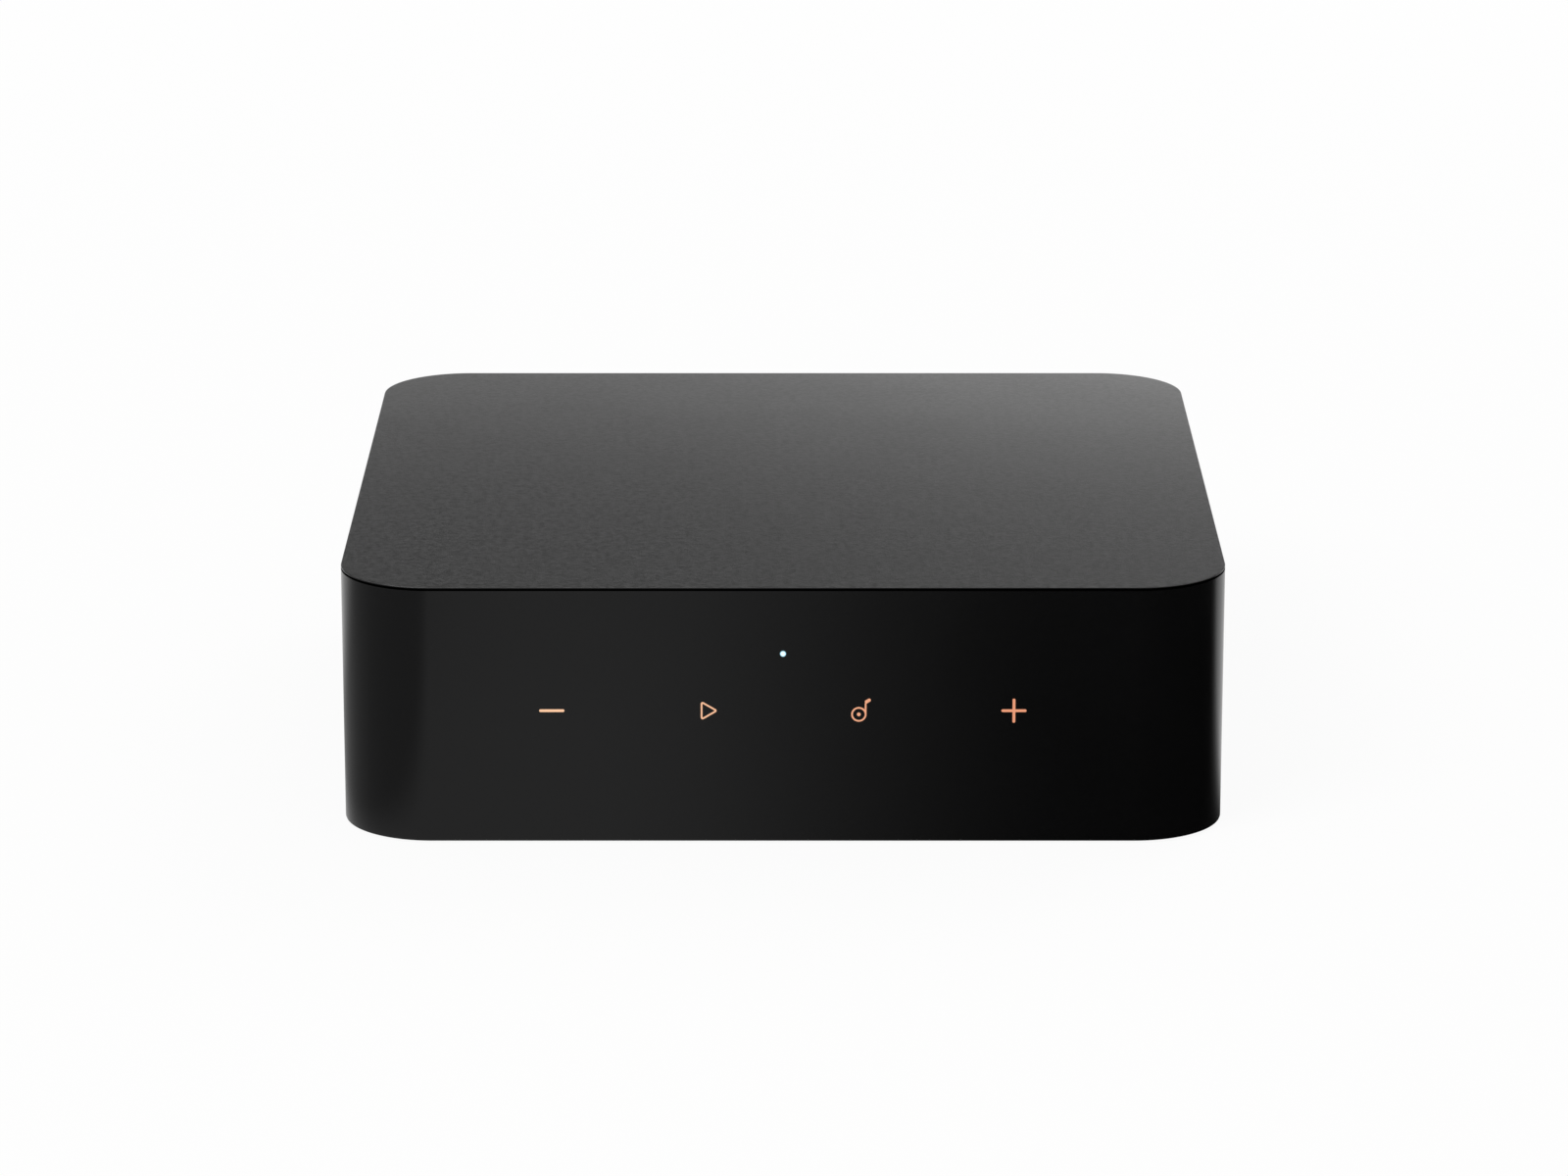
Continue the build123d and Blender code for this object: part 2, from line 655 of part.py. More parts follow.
def main_board():
    """The circuit board, narrower at the rear so that it clears the corner bosses."""
    half = BOARD_WIDTH / 2
    wide = block(-half, half, BOARD_FRONT, BOARD_SHOULDER, BOARD_BOTTOM, BOARD_TOP)
    wide = chamfer(wide.edges().filter_by(Axis.Z), BOARD_CORNER)
    half_tail = BOARD_TAIL_WIDTH / 2
    board = wide + block(-half_tail, half_tail, BOARD_FRONT / 2, BOARD_REAR, BOARD_BOTTOM, BOARD_TOP)
    for x, y in board_screw_places():
        board -= peg(x, y, SHANK_RADIUS + SHANK_GAP, BOARD_BOTTOM - OVERRUN, BOARD_TOP + OVERRUN)
    return board


def board_screws():
    """The four screws that hold the main board, heads up."""
    upside_down = mirror(hidden_screw(BOARD_SHANK_LENGTH), about=Plane.XY)
    return group([Pos(x, y, BOARD_TOP) * upside_down for x, y in board_screw_places()])


MODULE_Y = BOARD_FRONT + MODULE_FRONT_ROOM
MODULE_TOP = BOARD_TOP + MODULE_THICK
CAN_TOP = MODULE_TOP + CAN_HEIGHT
PAD_TOP = CAN_TOP + THERMAL_PAD_THICK


def square_block(size, x, y, z_low, z_high):
    """An upright block with a square footprint."""
    half = size / 2
    return block(x - half, x + half, y - half, y + half, z_low, z_high)


def streaming_module():
    """The small board that carries the processor and the radio."""
    return square_block(MODULE_SIZE, 0, MODULE_Y, BOARD_TOP, MODULE_TOP)


def module_shield():
    """The sheet-metal can over the module's chips."""
    can = square_block(CAN_SIZE, 0, MODULE_Y, MODULE_TOP, CAN_TOP)
    can = fillet(can.edges().filter_by(Axis.Z), CAN_CORNER)
    room = CAN_SIZE - 2 * CAN_METAL
    return can - square_block(room, 0, MODULE_Y, MODULE_TOP - OVERRUN, CAN_TOP - CAN_METAL)


def thermal_pad():
    """The soft pad between the shield and the heat sink."""
    return square_block(THERMAL_PAD_SIZE, 0, MODULE_Y, CAN_TOP, PAD_TOP)


def heat_sink():
    """A finned aluminium heat sink."""
    sink = square_block(SINK_SIZE, 0, MODULE_Y, PAD_TOP, PAD_TOP + SINK_HEIGHT)
    pitch = (SINK_SIZE - SINK_FIN_THICK) / (SINK_FIN_COUNT - 1)
    gap = pitch - SINK_FIN_THICK
    reach = SINK_SIZE / 2 + OVERRUN
    top = PAD_TOP + SINK_HEIGHT + OVERRUN
    for i in range(SINK_FIN_COUNT - 1):
        x = -SINK_SIZE / 2 + SINK_FIN_THICK + i * pitch
        sink -= block(x, x + gap, MODULE_Y - reach, MODULE_Y + reach, PAD_TOP + SINK_BASE, top)
    return sink


def row_of(count, pitch, middle):
    """Evenly spaced places about a middle."""
    return [middle + (i - (count - 1) / 2) * pitch for i in range(count)]


def audio_chips():
    """The converters and the clock chip in front of the line sockets."""
    y = BOARD_REAR - CHIP_REAR_ROOM
    places = row_of(CHIP_COUNT, CHIP_PITCH, LINE_OUT_X)
    return group([square_block(CHIP_SIZE, x, y, BOARD_TOP, BOARD_TOP + CHIP_THICK) for x in places])


def capacitor(x, y):
    """A can capacitor on its moulded foot, with two bevelled corners."""
    foot = square_block(CAPACITOR_BASE, x, y, BOARD_TOP, BOARD_TOP + CAPACITOR_BASE_THICK)
    front_edges = foot.edges().filter_by(Axis.Z).group_by(Axis.Y)[0]
    foot = chamfer(front_edges, CAPACITOR_CHAMFER)
    can = peg(x, y, CAPACITOR_RADIUS, BOARD_TOP + CAPACITOR_BASE_THICK, BOARD_TOP + CAPACITOR_HEIGHT)
    return foot + can


def capacitors():
    """The smoothing capacitors of the line outputs."""
    y = BOARD_REAR - CAPACITOR_REAR_ROOM
    return group([capacitor(x, y) for x in row_of(CAPACITOR_COUNT, CAPACITOR_PITCH, LINE_OUT_X)])


def power_coils():
    """The coils of the voltage converters, in front of the power socket."""
    y = BOARD_REAR - COIL_REAR_ROOM
    coils = []
    for x in row_of(COIL_COUNT, COIL_PITCH, RESET_X):
        coil = square_block(COIL_SIZE, x, y, BOARD_TOP, BOARD_TOP + COIL_HEIGHT)
        coils.append(chamfer(coil.edges().filter_by(Axis.Z), COIL_CHAMFER))
    return group(coils)


def network_transformer():
    """The isolating transformer in front of the network socket."""
    rear = PANEL_FACE - ETHERNET_DEPTH - MAGNETICS_ROOM
    half = MAGNETICS_WIDTH / 2
    top = BOARD_TOP + MAGNETICS_HEIGHT
    return block(ETHERNET_X - half, ETHERNET_X + half, rear - MAGNETICS_DEPTH, rear, BOARD_TOP, top)


def crystals():
    """The two clock crystals, in front of the capacitors and the coils."""
    y = BOARD_REAR - CRYSTAL_REAR_ROOM
    half_x = CRYSTAL_WIDTH / 2
    half_y = CRYSTAL_DEPTH / 2
    top = BOARD_TOP + CRYSTAL_HEIGHT
    places = (-CRYSTAL_X, CRYSTAL_X)
    return group([block(x - half_x, x + half_x, y - half_y, y + half_y, BOARD_TOP, top) for x in places])


# Aerials

AERIAL_Y = MODULE_Y + AERIAL_Y_OFFSET
AERIAL_MIDDLE = CASE_HEIGHT - AERIAL_DROP


def aerial(side):
    """A thin aerial board stuck to the inside of a side wall, with its feed notch."""
    inner = INNER_SIDE - AERIAL_THICK
    low = AERIAL_MIDDLE - AERIAL_HEIGHT / 2
    high = AERIAL_MIDDLE + AERIAL_HEIGHT / 2
    front = AERIAL_Y - AERIAL_LENGTH / 2
    rear = AERIAL_Y + AERIAL_LENGTH / 2
    board = block(inner, INNER_SIDE, front, rear, low, high)
    notch_top = low + AERIAL_NOTCH_HEIGHT
    notch_rear = front + AERIAL_NOTCH_LENGTH
    notch_low = low - OVERRUN
    reach = INNER_SIDE + OVERRUN
    board -= block(inner - OVERRUN, reach, front - OVERRUN, notch_rear, notch_low, notch_top)
    return board if side > 0 else mirror(board, about=Plane.YZ)


def aerial_lead(side):
    """The thin screened lead from the main board up to the aerial."""
    low = BOARD_TOP + LEAD_LIFT + LEAD_RADIUS
    start = side * (LEAD_PLUG_X + LEAD_PLUG_SIZE / 2)
    rise = side * (INNER_SIDE - LEAD_WALL_ROOM)
    end = side * (INNER_SIDE - AERIAL_THICK)
    bend = side * LEAD_BEND
    route = Polyline(
        (start, AERIAL_Y, low),
        (rise - bend, AERIAL_Y, low),
        (rise, AERIAL_Y, low + LEAD_BEND),
        (rise, AERIAL_Y, AERIAL_MIDDLE - LEAD_BEND),
        (rise + bend, AERIAL_Y, AERIAL_MIDDLE),
        (end, AERIAL_Y, AERIAL_MIDDLE),
    )
    section = Plane(origin=route @ 0, z_dir=route % 0) * faceted(LEAD_RADIUS, LEAD_SIDES)
    return sweep(section, path=route, transition=Transition.RIGHT)


def aerial_plugs():
    """The two snap-on plugs where the aerial leads meet the main board."""
    top = BOARD_TOP + LEAD_PLUG_HEIGHT
    places = (-LEAD_PLUG_X, LEAD_PLUG_X)
    return group([square_block(LEAD_PLUG_SIZE, x, AERIAL_Y, BOARD_TOP, top) for x in places])


# Touch board and status light



def touch_board():
    """The board with the touch electrodes, held behind the front wall by its two rails."""
    height = TOUCH_BOARD_HIGH - TOUCH_BOARD_LOW
    outline = Rectangle(TOUCH_BOARD_WIDTH, height)
    middle = (TOUCH_BOARD_HIGH + TOUCH_BOARD_LOW) / 2
    return along_y(outline, 0, middle, TOUCH_BOARD_FRONT, TOUCH_BOARD_BACK)


def touch_pads():
    """The conductive foam pads that carry each touch sign's field to the wall."""
    places = row_of(TOUCH_PAD_COUNT, TOUCH_PITCH, 0)
    return group([dowel(x, TOUCH_HEIGHT, TOUCH_PAD_RADIUS, INNER_FRONT, TOUCH_BOARD_FRONT) for x in places])


def status_led():
    """The light-emitting diode on the touch board."""
    half_x = LED_WIDTH / 2
    half_z = LED_HEIGHT / 2
    front = TOUCH_BOARD_FRONT - LED_THICK
    return block(-half_x, half_x, front, TOUCH_BOARD_FRONT, LIGHT_HEIGHT - half_z, LIGHT_HEIGHT + half_z)


def light_pipe():
    """The clear pin that carries the light through the front wall, flush outside."""
    pipe = rod(0, LIGHT_HEIGHT, LIGHT_RADIUS, FRONT, INNER_FRONT)
    back = INNER_FRONT + LIGHT_FLANGE_THICK
    return pipe + dowel(0, LIGHT_HEIGHT, LIGHT_FLANGE_RADIUS, INNER_FRONT, back)


RIBBON_SOCKET_LOW = TOUCH_BOARD_LOW + RIBBON_SOCKET_RISE
RIBBON_Y = TOUCH_BOARD_BACK + RIBBON_SOCKET_THICK / 2
RIBBON_Z = BOARD_TOP + RIBBON_SOCKET_THICK / 2


def ribbon_sockets():
    """The ribbon's two sockets, one on the touch board and one on the main board."""
    half = RIBBON_SOCKET_WIDTH / 2
    high = RIBBON_SOCKET_LOW + RIBBON_SOCKET_LENGTH
    upper_back = TOUCH_BOARD_BACK + RIBBON_SOCKET_THICK
    upper = block(-half, half, TOUCH_BOARD_BACK, upper_back, RIBBON_SOCKET_LOW, high)
    front = BOARD_FRONT + RIBBON_SOCKET_INSET
    rear = front + RIBBON_SOCKET_LENGTH
    lower = block(-half, half, front, rear, BOARD_TOP, BOARD_TOP + RIBBON_SOCKET_THICK)
    return group([upper, lower])


def touch_ribbon():
    """The flat ribbon, down from the touch board and back to the main board."""
    bend = RIBBON_BEND_SHARE * (RIBBON_SOCKET_LOW - RIBBON_Z)
    route = FilletPolyline(
        (0, RIBBON_Y, RIBBON_SOCKET_LOW),
        (0, RIBBON_Y, RIBBON_Z),
        (0, BOARD_FRONT + RIBBON_SOCKET_INSET, RIBBON_Z),
        radius=bend,
    )
    start = Plane(origin=route @ 0, x_dir=(1, 0, 0), z_dir=route % 0)
    return sweep(start * Rectangle(RIBBON_WIDTH, RIBBON_THICK), path=route)


# Rear panel


def panel_screw_places():
    """Where the panel is screwed to the line sockets' block and to the tower that hangs from the roof."""
    return [(PANEL_SCREW_X, PANEL_SCREW_Z), (TOWER_X, TOWER_SCREW_Z)]


def power_outline(growth):
    """The flat-sided oval of the power socket, grown all round."""
    return SlotOverall(POWER_WIDTH + 2 * growth, POWER_HEIGHT + 2 * growth)


def rear_panel():
    """The panel that fills the rear window, with a flange behind the wall and a hole for each socket."""
    face_width = WINDOW_WIDTH - 2 * DROP_GAP
    face_height = WINDOW_HEIGHT - 2 * DROP_GAP
    face = RectangleRounded(face_width, face_height, WINDOW_RADIUS - DROP_GAP)
    lap = 2 * PANEL_LAP
    flange = Rectangle(WINDOW_WIDTH + lap, WINDOW_HEIGHT + lap)
    panel = along_y(face, 0, WINDOW_MIDDLE, INNER_REAR, PANEL_FACE)
    panel += along_y(flange, 0, WINDOW_MIDDLE, PANEL_BACK, INNER_REAR)
    low = PANEL_BACK - OVERRUN
    high = PANEL_FACE + OVERRUN
    for x, z in PHONO_PLACES:
        panel -= dowel(x, z, COLLAR_SEAT_RADIUS + HOLE_GAP, low, high, SEAT_SIDES)
    for x, z in panel_screw_places():
        panel -= dowel(x, z, SHANK_RADIUS + SHANK_GAP, low, high)
    optical = Rectangle(OPTICAL_WIDTH + 2 * HOLE_GAP, OPTICAL_HEIGHT + 2 * HOLE_GAP)
    for x in (OPTICAL_IN_X, OPTICAL_OUT_X):
        panel -= along_y(optical, x, BOARD_TOP + OPTICAL_HEIGHT / 2, low, high)
    ethernet = Rectangle(ETHERNET_WIDTH + 2 * HOLE_GAP, ETHERNET_HEIGHT + 2 * HOLE_GAP)
    panel -= along_y(ethernet, ETHERNET_X, ETHERNET_Z, low, high)
    panel -= dowel(TRIGGER_X, TRIGGER_Z, NOSE_RADIUS + HOLE_GAP, low, high, RING_SIDES)
    panel -= dowel(RESET_X, RESET_Z, RESET_CAP_RADIUS + RESET_GAP, low, high, RING_SIDES)
    panel -= along_y(power_outline(HOLE_GAP), POWER_X, POWER_Z, low, high)
    return panel


def panel_screws():
    """The two screws that hold the panel between its snap hooks."""
    pointing_in = Rot(90, 0, 0) * screw(PANEL_SHANK_LENGTH)
    return group([Pos(x, PANEL_FACE, z) * pointing_in for x, z in panel_screw_places()])


# Phono sockets


def phono_block(x_low, x_high, places):
    """The moulded block behind a group of phono sockets, on the main board."""
    front = PANEL_BACK - PHONO_DEPTH
    top = max(z for x, z in places) + PHONO_CAP
    body = block(x_low - PHONO_WIDTH / 2, x_high + PHONO_WIDTH / 2, front, PANEL_BACK, BOARD_TOP, top)
    body = chamfer(body.edges().filter_by(Axis.X).group_by(Axis.Z)[-1], PHONO_CHAMFER)
    for x, z in places:
        bore = CONTACT_RADIUS + CONTACT_WALL + CORE_GAP
        body -= dowel(x, z, bore, PANEL_BACK - PIN_ROOM, PANEL_BACK + OVERRUN)
    return body


def line_block():
    """The block of the four line sockets, with the hole for the panel's screw in its middle."""
    body = phono_block(LINE_OUT_X, LINE_IN_X, PHONO_PLACES[:-1])
    tip = PANEL_FACE - PANEL_SHANK_LENGTH - SCREW_TIP_ROOM
    return body - dowel(PANEL_SCREW_X, PANEL_SCREW_Z, SHANK_RADIUS + SHANK_GAP, tip, PANEL_BACK + OVERRUN)


def phono_collar(x, z):
    """The plated sleeve that a phono plug slides over, with its wider seat in the panel."""
    seat_front = PANEL_FACE + COLLAR_SEAT_RISE
    collar = rod(x, z, COLLAR_RADIUS, seat_front, PHONO_TIP)
    collar += dowel(x, z, COLLAR_SEAT_RADIUS, PANEL_BACK, seat_front, SEAT_SIDES)
    inner = COLLAR_RADIUS - COLLAR_WALL
    return collar - dowel(x, z, inner, PANEL_BACK - OVERRUN, PHONO_TIP + OVERRUN, RING_SIDES)


CORE_FACE = PHONO_TIP - CORE_SET_BACK
CONTACT_FRONT = CORE_FACE - CONTACT_SET_BACK


def phono_core(x, z):
    """The coloured insulator inside a collar, round the centre contact."""
    core = dowel(x, z, COLLAR_RADIUS - COLLAR_WALL - CORE_GAP, PANEL_BACK, CORE_FACE, RING_SIDES)
    return core - dowel(x, z, CONTACT_RADIUS + CONTACT_WALL + CORE_GAP, PANEL_BACK - OVERRUN, PHONO_TIP)


def phono_contact(x, z):
    """The tube that grips a phono plug's pin."""
    back = CONTACT_FRONT - CONTACT_LENGTH
    tube = dowel(x, z, CONTACT_RADIUS + CONTACT_WALL, back, CONTACT_FRONT)
    return tube - rod(x, z, CONTACT_RADIUS, back - OVERRUN, CONTACT_FRONT + OVERRUN)


# Optical sockets


def optical_housing(x):
    """A square optical socket with a front rim, a stow for its shutter and a post for the light path."""
    back = PANEL_FACE - OPTICAL_DEPTH
    half = OPTICAL_WIDTH / 2
    body = block(x - half, x + half, back, PANEL_FACE, BOARD_TOP, BOARD_TOP + OPTICAL_HEIGHT)
    mouth = Rectangle(OPTICAL_MOUTH, OPTICAL_MOUTH)
    body -= along_y(mouth, x, OPTICAL_MOUTH_Z, PANEL_FACE - OVERRUN, PANEL_FACE + OVERRUN)
    cavity_front = PANEL_FACE - OPTICAL_RIM
    cavity_back = cavity_front - OPTICAL_CAVITY_DEPTH
    half_cavity = OPTICAL_CAVITY_WIDTH / 2
    low = OPTICAL_CAVITY_LOW
    high = OPTICAL_CAVITY_HIGH
    body -= block(x - half_cavity, x + half_cavity, cavity_back, cavity_front, low, high)
    tip = cavity_back + FERRULE_LENGTH
    body += dowel(x, OPTICAL_MOUTH_Z, FERRULE_RADIUS, cavity_back - OPTICAL_RIM, tip)
    body -= dowel(x, OPTICAL_MOUTH_Z, FERRULE_BORE, back + ELEMENT_THICK, tip + OVERRUN)
    half_recess = half - ELEMENT_INSET
    recess_low = BOARD_TOP + ELEMENT_INSET
    recess_high = BOARD_TOP + OPTICAL_HEIGHT - ELEMENT_INSET
    recess_back = back - OVERRUN
    recess_front = back + ELEMENT_THICK
    body -= block(x - half_recess, x + half_recess, recess_back, recess_front, recess_low, recess_high)
    pin_end = OPTICAL_CAVITY_WIDTH / 2 + HINGE_PIN_GRIP
    seat = Pos(x, HINGE_Y, HINGE_Z) * Plane.YZ.location * faceted(HINGE_PIN_RADIUS + HINGE_PIN_SEAT_GAP)
    return body - extrude(seat, amount=pin_end, both=True)


def optical_shutter(x):
    """The flap that closes an optical socket, hung from a knuckle round its hinge pin."""
    half = OPTICAL_CAVITY_WIDTH / 2 - SHUTTER_GAP
    low = OPTICAL_CAVITY_LOW + SHUTTER_GAP
    flap = block(x - half, x + half, SHUTTER_FRONT - SHUTTER_THICK, SHUTTER_FRONT, low, HINGE_Z)
    knuckle = axle(HINGE_Y, HINGE_Z, KNUCKLE_RADIUS, x - half, x + half)
    bridge = block(x - half, x + half, HINGE_Y, SHUTTER_FRONT, HINGE_Z - KNUCKLE_RADIUS, HINGE_Z)
    shutter = flap + knuckle + bridge
    reach = half + OVERRUN
    return shutter - axle(HINGE_Y, HINGE_Z, HINGE_PIN_RADIUS + HINGE_PIN_GAP, x - reach, x + reach)


def optical_hinge_pin(x):
    """The steel pin of a shutter, held in the housing's two cheeks."""
    end = OPTICAL_CAVITY_WIDTH / 2 + HINGE_PIN_GRIP
    return axle(HINGE_Y, HINGE_Z, HINGE_PIN_RADIUS, x - end, x + end)


def optical_spring(x):
    """The leaf spring that shuts a flap: one arm along the stow's roof, one down the flap's back."""
    leg_y = SHUTTER_FRONT - SHUTTER_THICK - SPRING_GAP - SPRING_THICK / 2
    knee_y = HINGE_Y - KNUCKLE_RADIUS - SPRING_GAP - SPRING_THICK / 2
    arm_z = OPTICAL_CAVITY_HIGH - SPRING_GAP - SPRING_THICK / 2
    leg_top = HINGE_Z - KNUCKLE_RADIUS - SPRING_GAP - SPRING_THICK
    route = FilletPolyline(
        (x, knee_y - SPRING_ARM, arm_z),
        (x, knee_y, arm_z),
        (x, knee_y, leg_top),
        (x, leg_y, leg_top - SPRING_LEG),
        radius=SPRING_BEND,
    )
    start = Plane(origin=route @ 0, x_dir=(1, 0, 0), z_dir=route % 0)
    return sweep(start * Rectangle(SPRING_WIDTH, SPRING_THICK), path=route)


def optical_element(x):
    """The light emitter or receiver set into the back of an optical socket."""
    back = PANEL_FACE - OPTICAL_DEPTH
    half = OPTICAL_WIDTH / 2 - ELEMENT_INSET - DROP_GAP
    low = BOARD_TOP + ELEMENT_INSET + DROP_GAP
    high = BOARD_TOP + OPTICAL_HEIGHT - ELEMENT_INSET - DROP_GAP
    element = block(x - half, x + half, back, back + ELEMENT_THICK, low, high)
    lens = dowel(x, OPTICAL_MOUTH_Z, FERRULE_BORE - CORE_GAP, back, back + ELEMENT_THICK + ELEMENT_LENS)
    return element + lens


# Network socket


def signal_windows(gap):
    """The two small light windows over the network plug's mouth, grown by a gap for their holes."""
    ceiling = BOARD_TOP + ETHERNET_HEIGHT - PLUG_ROOF
    top = BOARD_TOP + ETHERNET_HEIGHT - SHIELD_THICK - SHIELD_GAP
    middle = (ceiling + top) / 2
    half_high = SIGNAL_HEIGHT / 2 + gap
    half_wide = SIGNAL_WIDTH / 2 + gap
    back = PANEL_FACE - SIGNAL_DEPTH
    front = PANEL_FACE + gap
    low = middle - half_high
    high = middle + half_high
    places = (ETHERNET_X - SIGNAL_X, ETHERNET_X + SIGNAL_X)
    return group([block(x - half_wide, x + half_wide, back, front, low, high) for x in places])


def ethernet_insert():
    """The moulded body of the network socket, with the plug's cavity and the steps for its latch."""
    skin = SHIELD_THICK + SHIELD_GAP
    half = ETHERNET_WIDTH / 2 - skin
    back = PANEL_FACE - ETHERNET_DEPTH + skin
    front = PANEL_FACE - skin
    top = BOARD_TOP + ETHERNET_HEIGHT - skin
    body = block(ETHERNET_X - half, ETHERNET_X + half, back, front, BOARD_TOP, top)
    ceiling = BOARD_TOP + ETHERNET_HEIGHT - PLUG_ROOF
    floor = ceiling - PLUG_HEIGHT
    plug_back = PANEL_FACE - PLUG_DEPTH
    open_end = PANEL_FACE + OVERRUN
    half_plug = PLUG_WIDTH / 2
    body -= block(ETHERNET_X - half_plug, ETHERNET_X + half_plug, plug_back, open_end, floor, ceiling)
    latch_floor = floor - LATCH_HEIGHT
    latch_back = PANEL_FACE - LATCH_DEPTH
    half_latch = LATCH_WIDTH / 2
    x = ETHERNET_X
    body -= block(x - half_latch, x + half_latch, latch_back, open_end, latch_floor, ceiling)
    step_floor = latch_floor - LATCH_STEP_HEIGHT
    half_step = LATCH_STEP_WIDTH / 2
    body -= block(x - half_step, x + half_step, latch_back, open_end, step_floor, ceiling)
    return body - signal_windows(SHIELD_GAP)


def ethernet_shield():
    """The folded metal case of the network socket, open below and framing the plug's mouth."""
    half = ETHERNET_WIDTH / 2
    back = PANEL_FACE - ETHERNET_DEPTH
    top = BOARD_TOP + ETHERNET_HEIGHT
    case = block(ETHERNET_X - half, ETHERNET_X + half, back, PANEL_FACE, BOARD_TOP, top)
    room = half - SHIELD_THICK
    case -= block(
        ETHERNET_X - room,
        ETHERNET_X + room,
        back + SHIELD_THICK,
        PANEL_FACE - SHIELD_THICK,
        BOARD_TOP - OVERRUN,
        top - SHIELD_THICK,
    )
    ceiling = BOARD_TOP + ETHERNET_HEIGHT - PLUG_ROOF
    floor = ceiling - PLUG_HEIGHT
    half_plug = PLUG_WIDTH / 2
    low = PANEL_FACE - SHIELD_THICK - OVERRUN
    high = PANEL_FACE + OVERRUN
    case -= block(ETHERNET_X - half_plug, ETHERNET_X + half_plug, low, high, floor, ceiling)
    latch_floor = floor - LATCH_HEIGHT
    half_latch = LATCH_WIDTH / 2
    case -= block(ETHERNET_X - half_latch, ETHERNET_X + half_latch, low, high, latch_floor, ceiling)
    step_floor = latch_floor - LATCH_STEP_HEIGHT
    half_step = LATCH_STEP_WIDTH / 2
    case -= block(ETHERNET_X - half_step, ETHERNET_X + half_step, low, high, step_floor, ceiling)
    return case - signal_windows(SHIELD_GAP)


def ethernet_contacts():
    """The eight sprung fingers that slope down from the ceiling of the plug's cavity."""
    ceiling = BOARD_TOP + ETHERNET_HEIGHT - PLUG_ROOF
    high = ceiling - FINGER_CEILING_GAP
    front = PANEL_FACE - FINGER_FRONT
    back = front - FINGER_RUN
    thick = FINGER_THICK
    outline = Polyline(
        (front - FINGER_TAIL, high),
        (front, high),
        (front, high - thick),
        (back, high - FINGER_DROP),
        (back - thick, high - FINGER_DROP),
        (back - thick, high - FINGER_DROP + thick),
        (front - FINGER_TAIL, high - thick),
        close=True,
    )
    finger = Plane.YZ.location * extrude(make_face(outline), amount=FINGER_WIDTH / 2, both=True)
    places = row_of(FINGER_COUNT, FINGER_PITCH, ETHERNET_X)
    return group([Pos(x, 0, 0) * finger for x in places])


# Trigger socket


def trigger_housing():
    """The moulded body of the small round trigger socket."""
    half = TRIGGER_WIDTH / 2
    front = PANEL_BACK - TRIGGER_DEPTH
    top = BOARD_TOP + TRIGGER_HEIGHT
    body = block(TRIGGER_X - half, TRIGGER_X + half, front, PANEL_BACK, BOARD_TOP, top)
    body -= dowel(TRIGGER_X, TRIGGER_Z, TRIGGER_BORE, front + TRIGGER_BACK_WALL, PANEL_BACK + OVERRUN)
    half_slot = SPRING_SLOT_WIDTH / 2
    slot_front = front + TRIGGER_BACK_WALL
    slot_rear = slot_front + SPRING_SLOT_LENGTH
    x = TRIGGER_X
    return body - block(x - half_slot, x + half_slot, slot_front, slot_rear, TRIGGER_Z, top + OVERRUN)


def trigger_nose():
    """The plated ring at the mouth of the trigger socket."""
    tip = PANEL_FACE + NOSE_STAND
    throat = REAR + CORE_GAP
    nose = dowel(TRIGGER_X, TRIGGER_Z, NOSE_RADIUS, PANEL_BACK, tip, RING_SIDES)
    nose -= rod(TRIGGER_X, TRIGGER_Z, NOSE_BORE, throat - OVERRUN, tip + OVERRUN)
    return nose - dowel(TRIGGER_X, TRIGGER_Z, TRIGGER_BORE, PANEL_BACK - OVERRUN, throat)


def trigger_spring():
    """The sprung contact that dips into the trigger socket's bore through its slot."""
    half = SPRING_SLOT_WIDTH / 2 - CORE_GAP
    front = PANEL_BACK - TRIGGER_DEPTH + TRIGGER_BACK_WALL + CORE_GAP
    rear = front + SPRING_SLOT_LENGTH - 2 * CORE_GAP
    top = BOARD_TOP + TRIGGER_HEIGHT
    middle = (front + rear) / 2
    dip = TRIGGER_Z + TRIGGER_BORE - TRIGGER_SPRING_DIP
    thick = TRIGGER_SPRING_THICK
    outline = Polyline(
        (front, top),
        (middle, dip + thick),
        (rear, top),
        (rear, top - thick),
        (middle, dip),
        (front, top - thick),
        close=True,
    )
    leaf = Plane.YZ.location * extrude(make_face(outline), amount=half, both=True)
    return Pos(TRIGGER_X, 0, 0) * leaf


# Reset key


PLUNGER_TIP = PANEL_BACK - RESET_COLLAR_GAP - RESET_COLLAR_THICK - RESET_STEM_LENGTH
SWITCH_REAR = PLUNGER_TIP - PLUNGER_STAND


def reset_switch():
    """The switch on the main board, with the pocket that its plunger works in."""
    half = RESET_WIDTH / 2
    front = SWITCH_REAR - RESET_SWITCH_DEPTH
    body = block(RESET_X - half, RESET_X + half, front, SWITCH_REAR, BOARD_TOP, BOARD_TOP + RESET_HEIGHT)
    depth = SWITCH_REAR - PLUNGER_SUNK - RESET_TRAVEL - PLUNGER_POCKET_ROOM
    return body - dowel(RESET_X, RESET_Z, PLUNGER_RADIUS + PLUNGER_GAP, depth, SWITCH_REAR + OVERRUN)


def reset_plunger():
    """The switch's own plunger."""
    return dowel(RESET_X, RESET_Z, PLUNGER_RADIUS, SWITCH_REAR - PLUNGER_SUNK, PLUNGER_TIP)


def reset_button():
    """The key cap in the panel, kept in by a collar behind it."""
    tip = PANEL_FACE + RESET_CAP_STAND
    collar_rear = PANEL_BACK - RESET_COLLAR_GAP
    collar_front = collar_rear - RESET_COLLAR_THICK
    key = dowel(RESET_X, RESET_Z, RESET_CAP_RADIUS, collar_rear, tip, RING_SIDES)
    key += dowel(RESET_X, RESET_Z, RESET_COLLAR_RADIUS, collar_front, collar_rear)
    return key + dowel(RESET_X, RESET_Z, RESET_STEM_RADIUS, PLUNGER_TIP, collar_front)


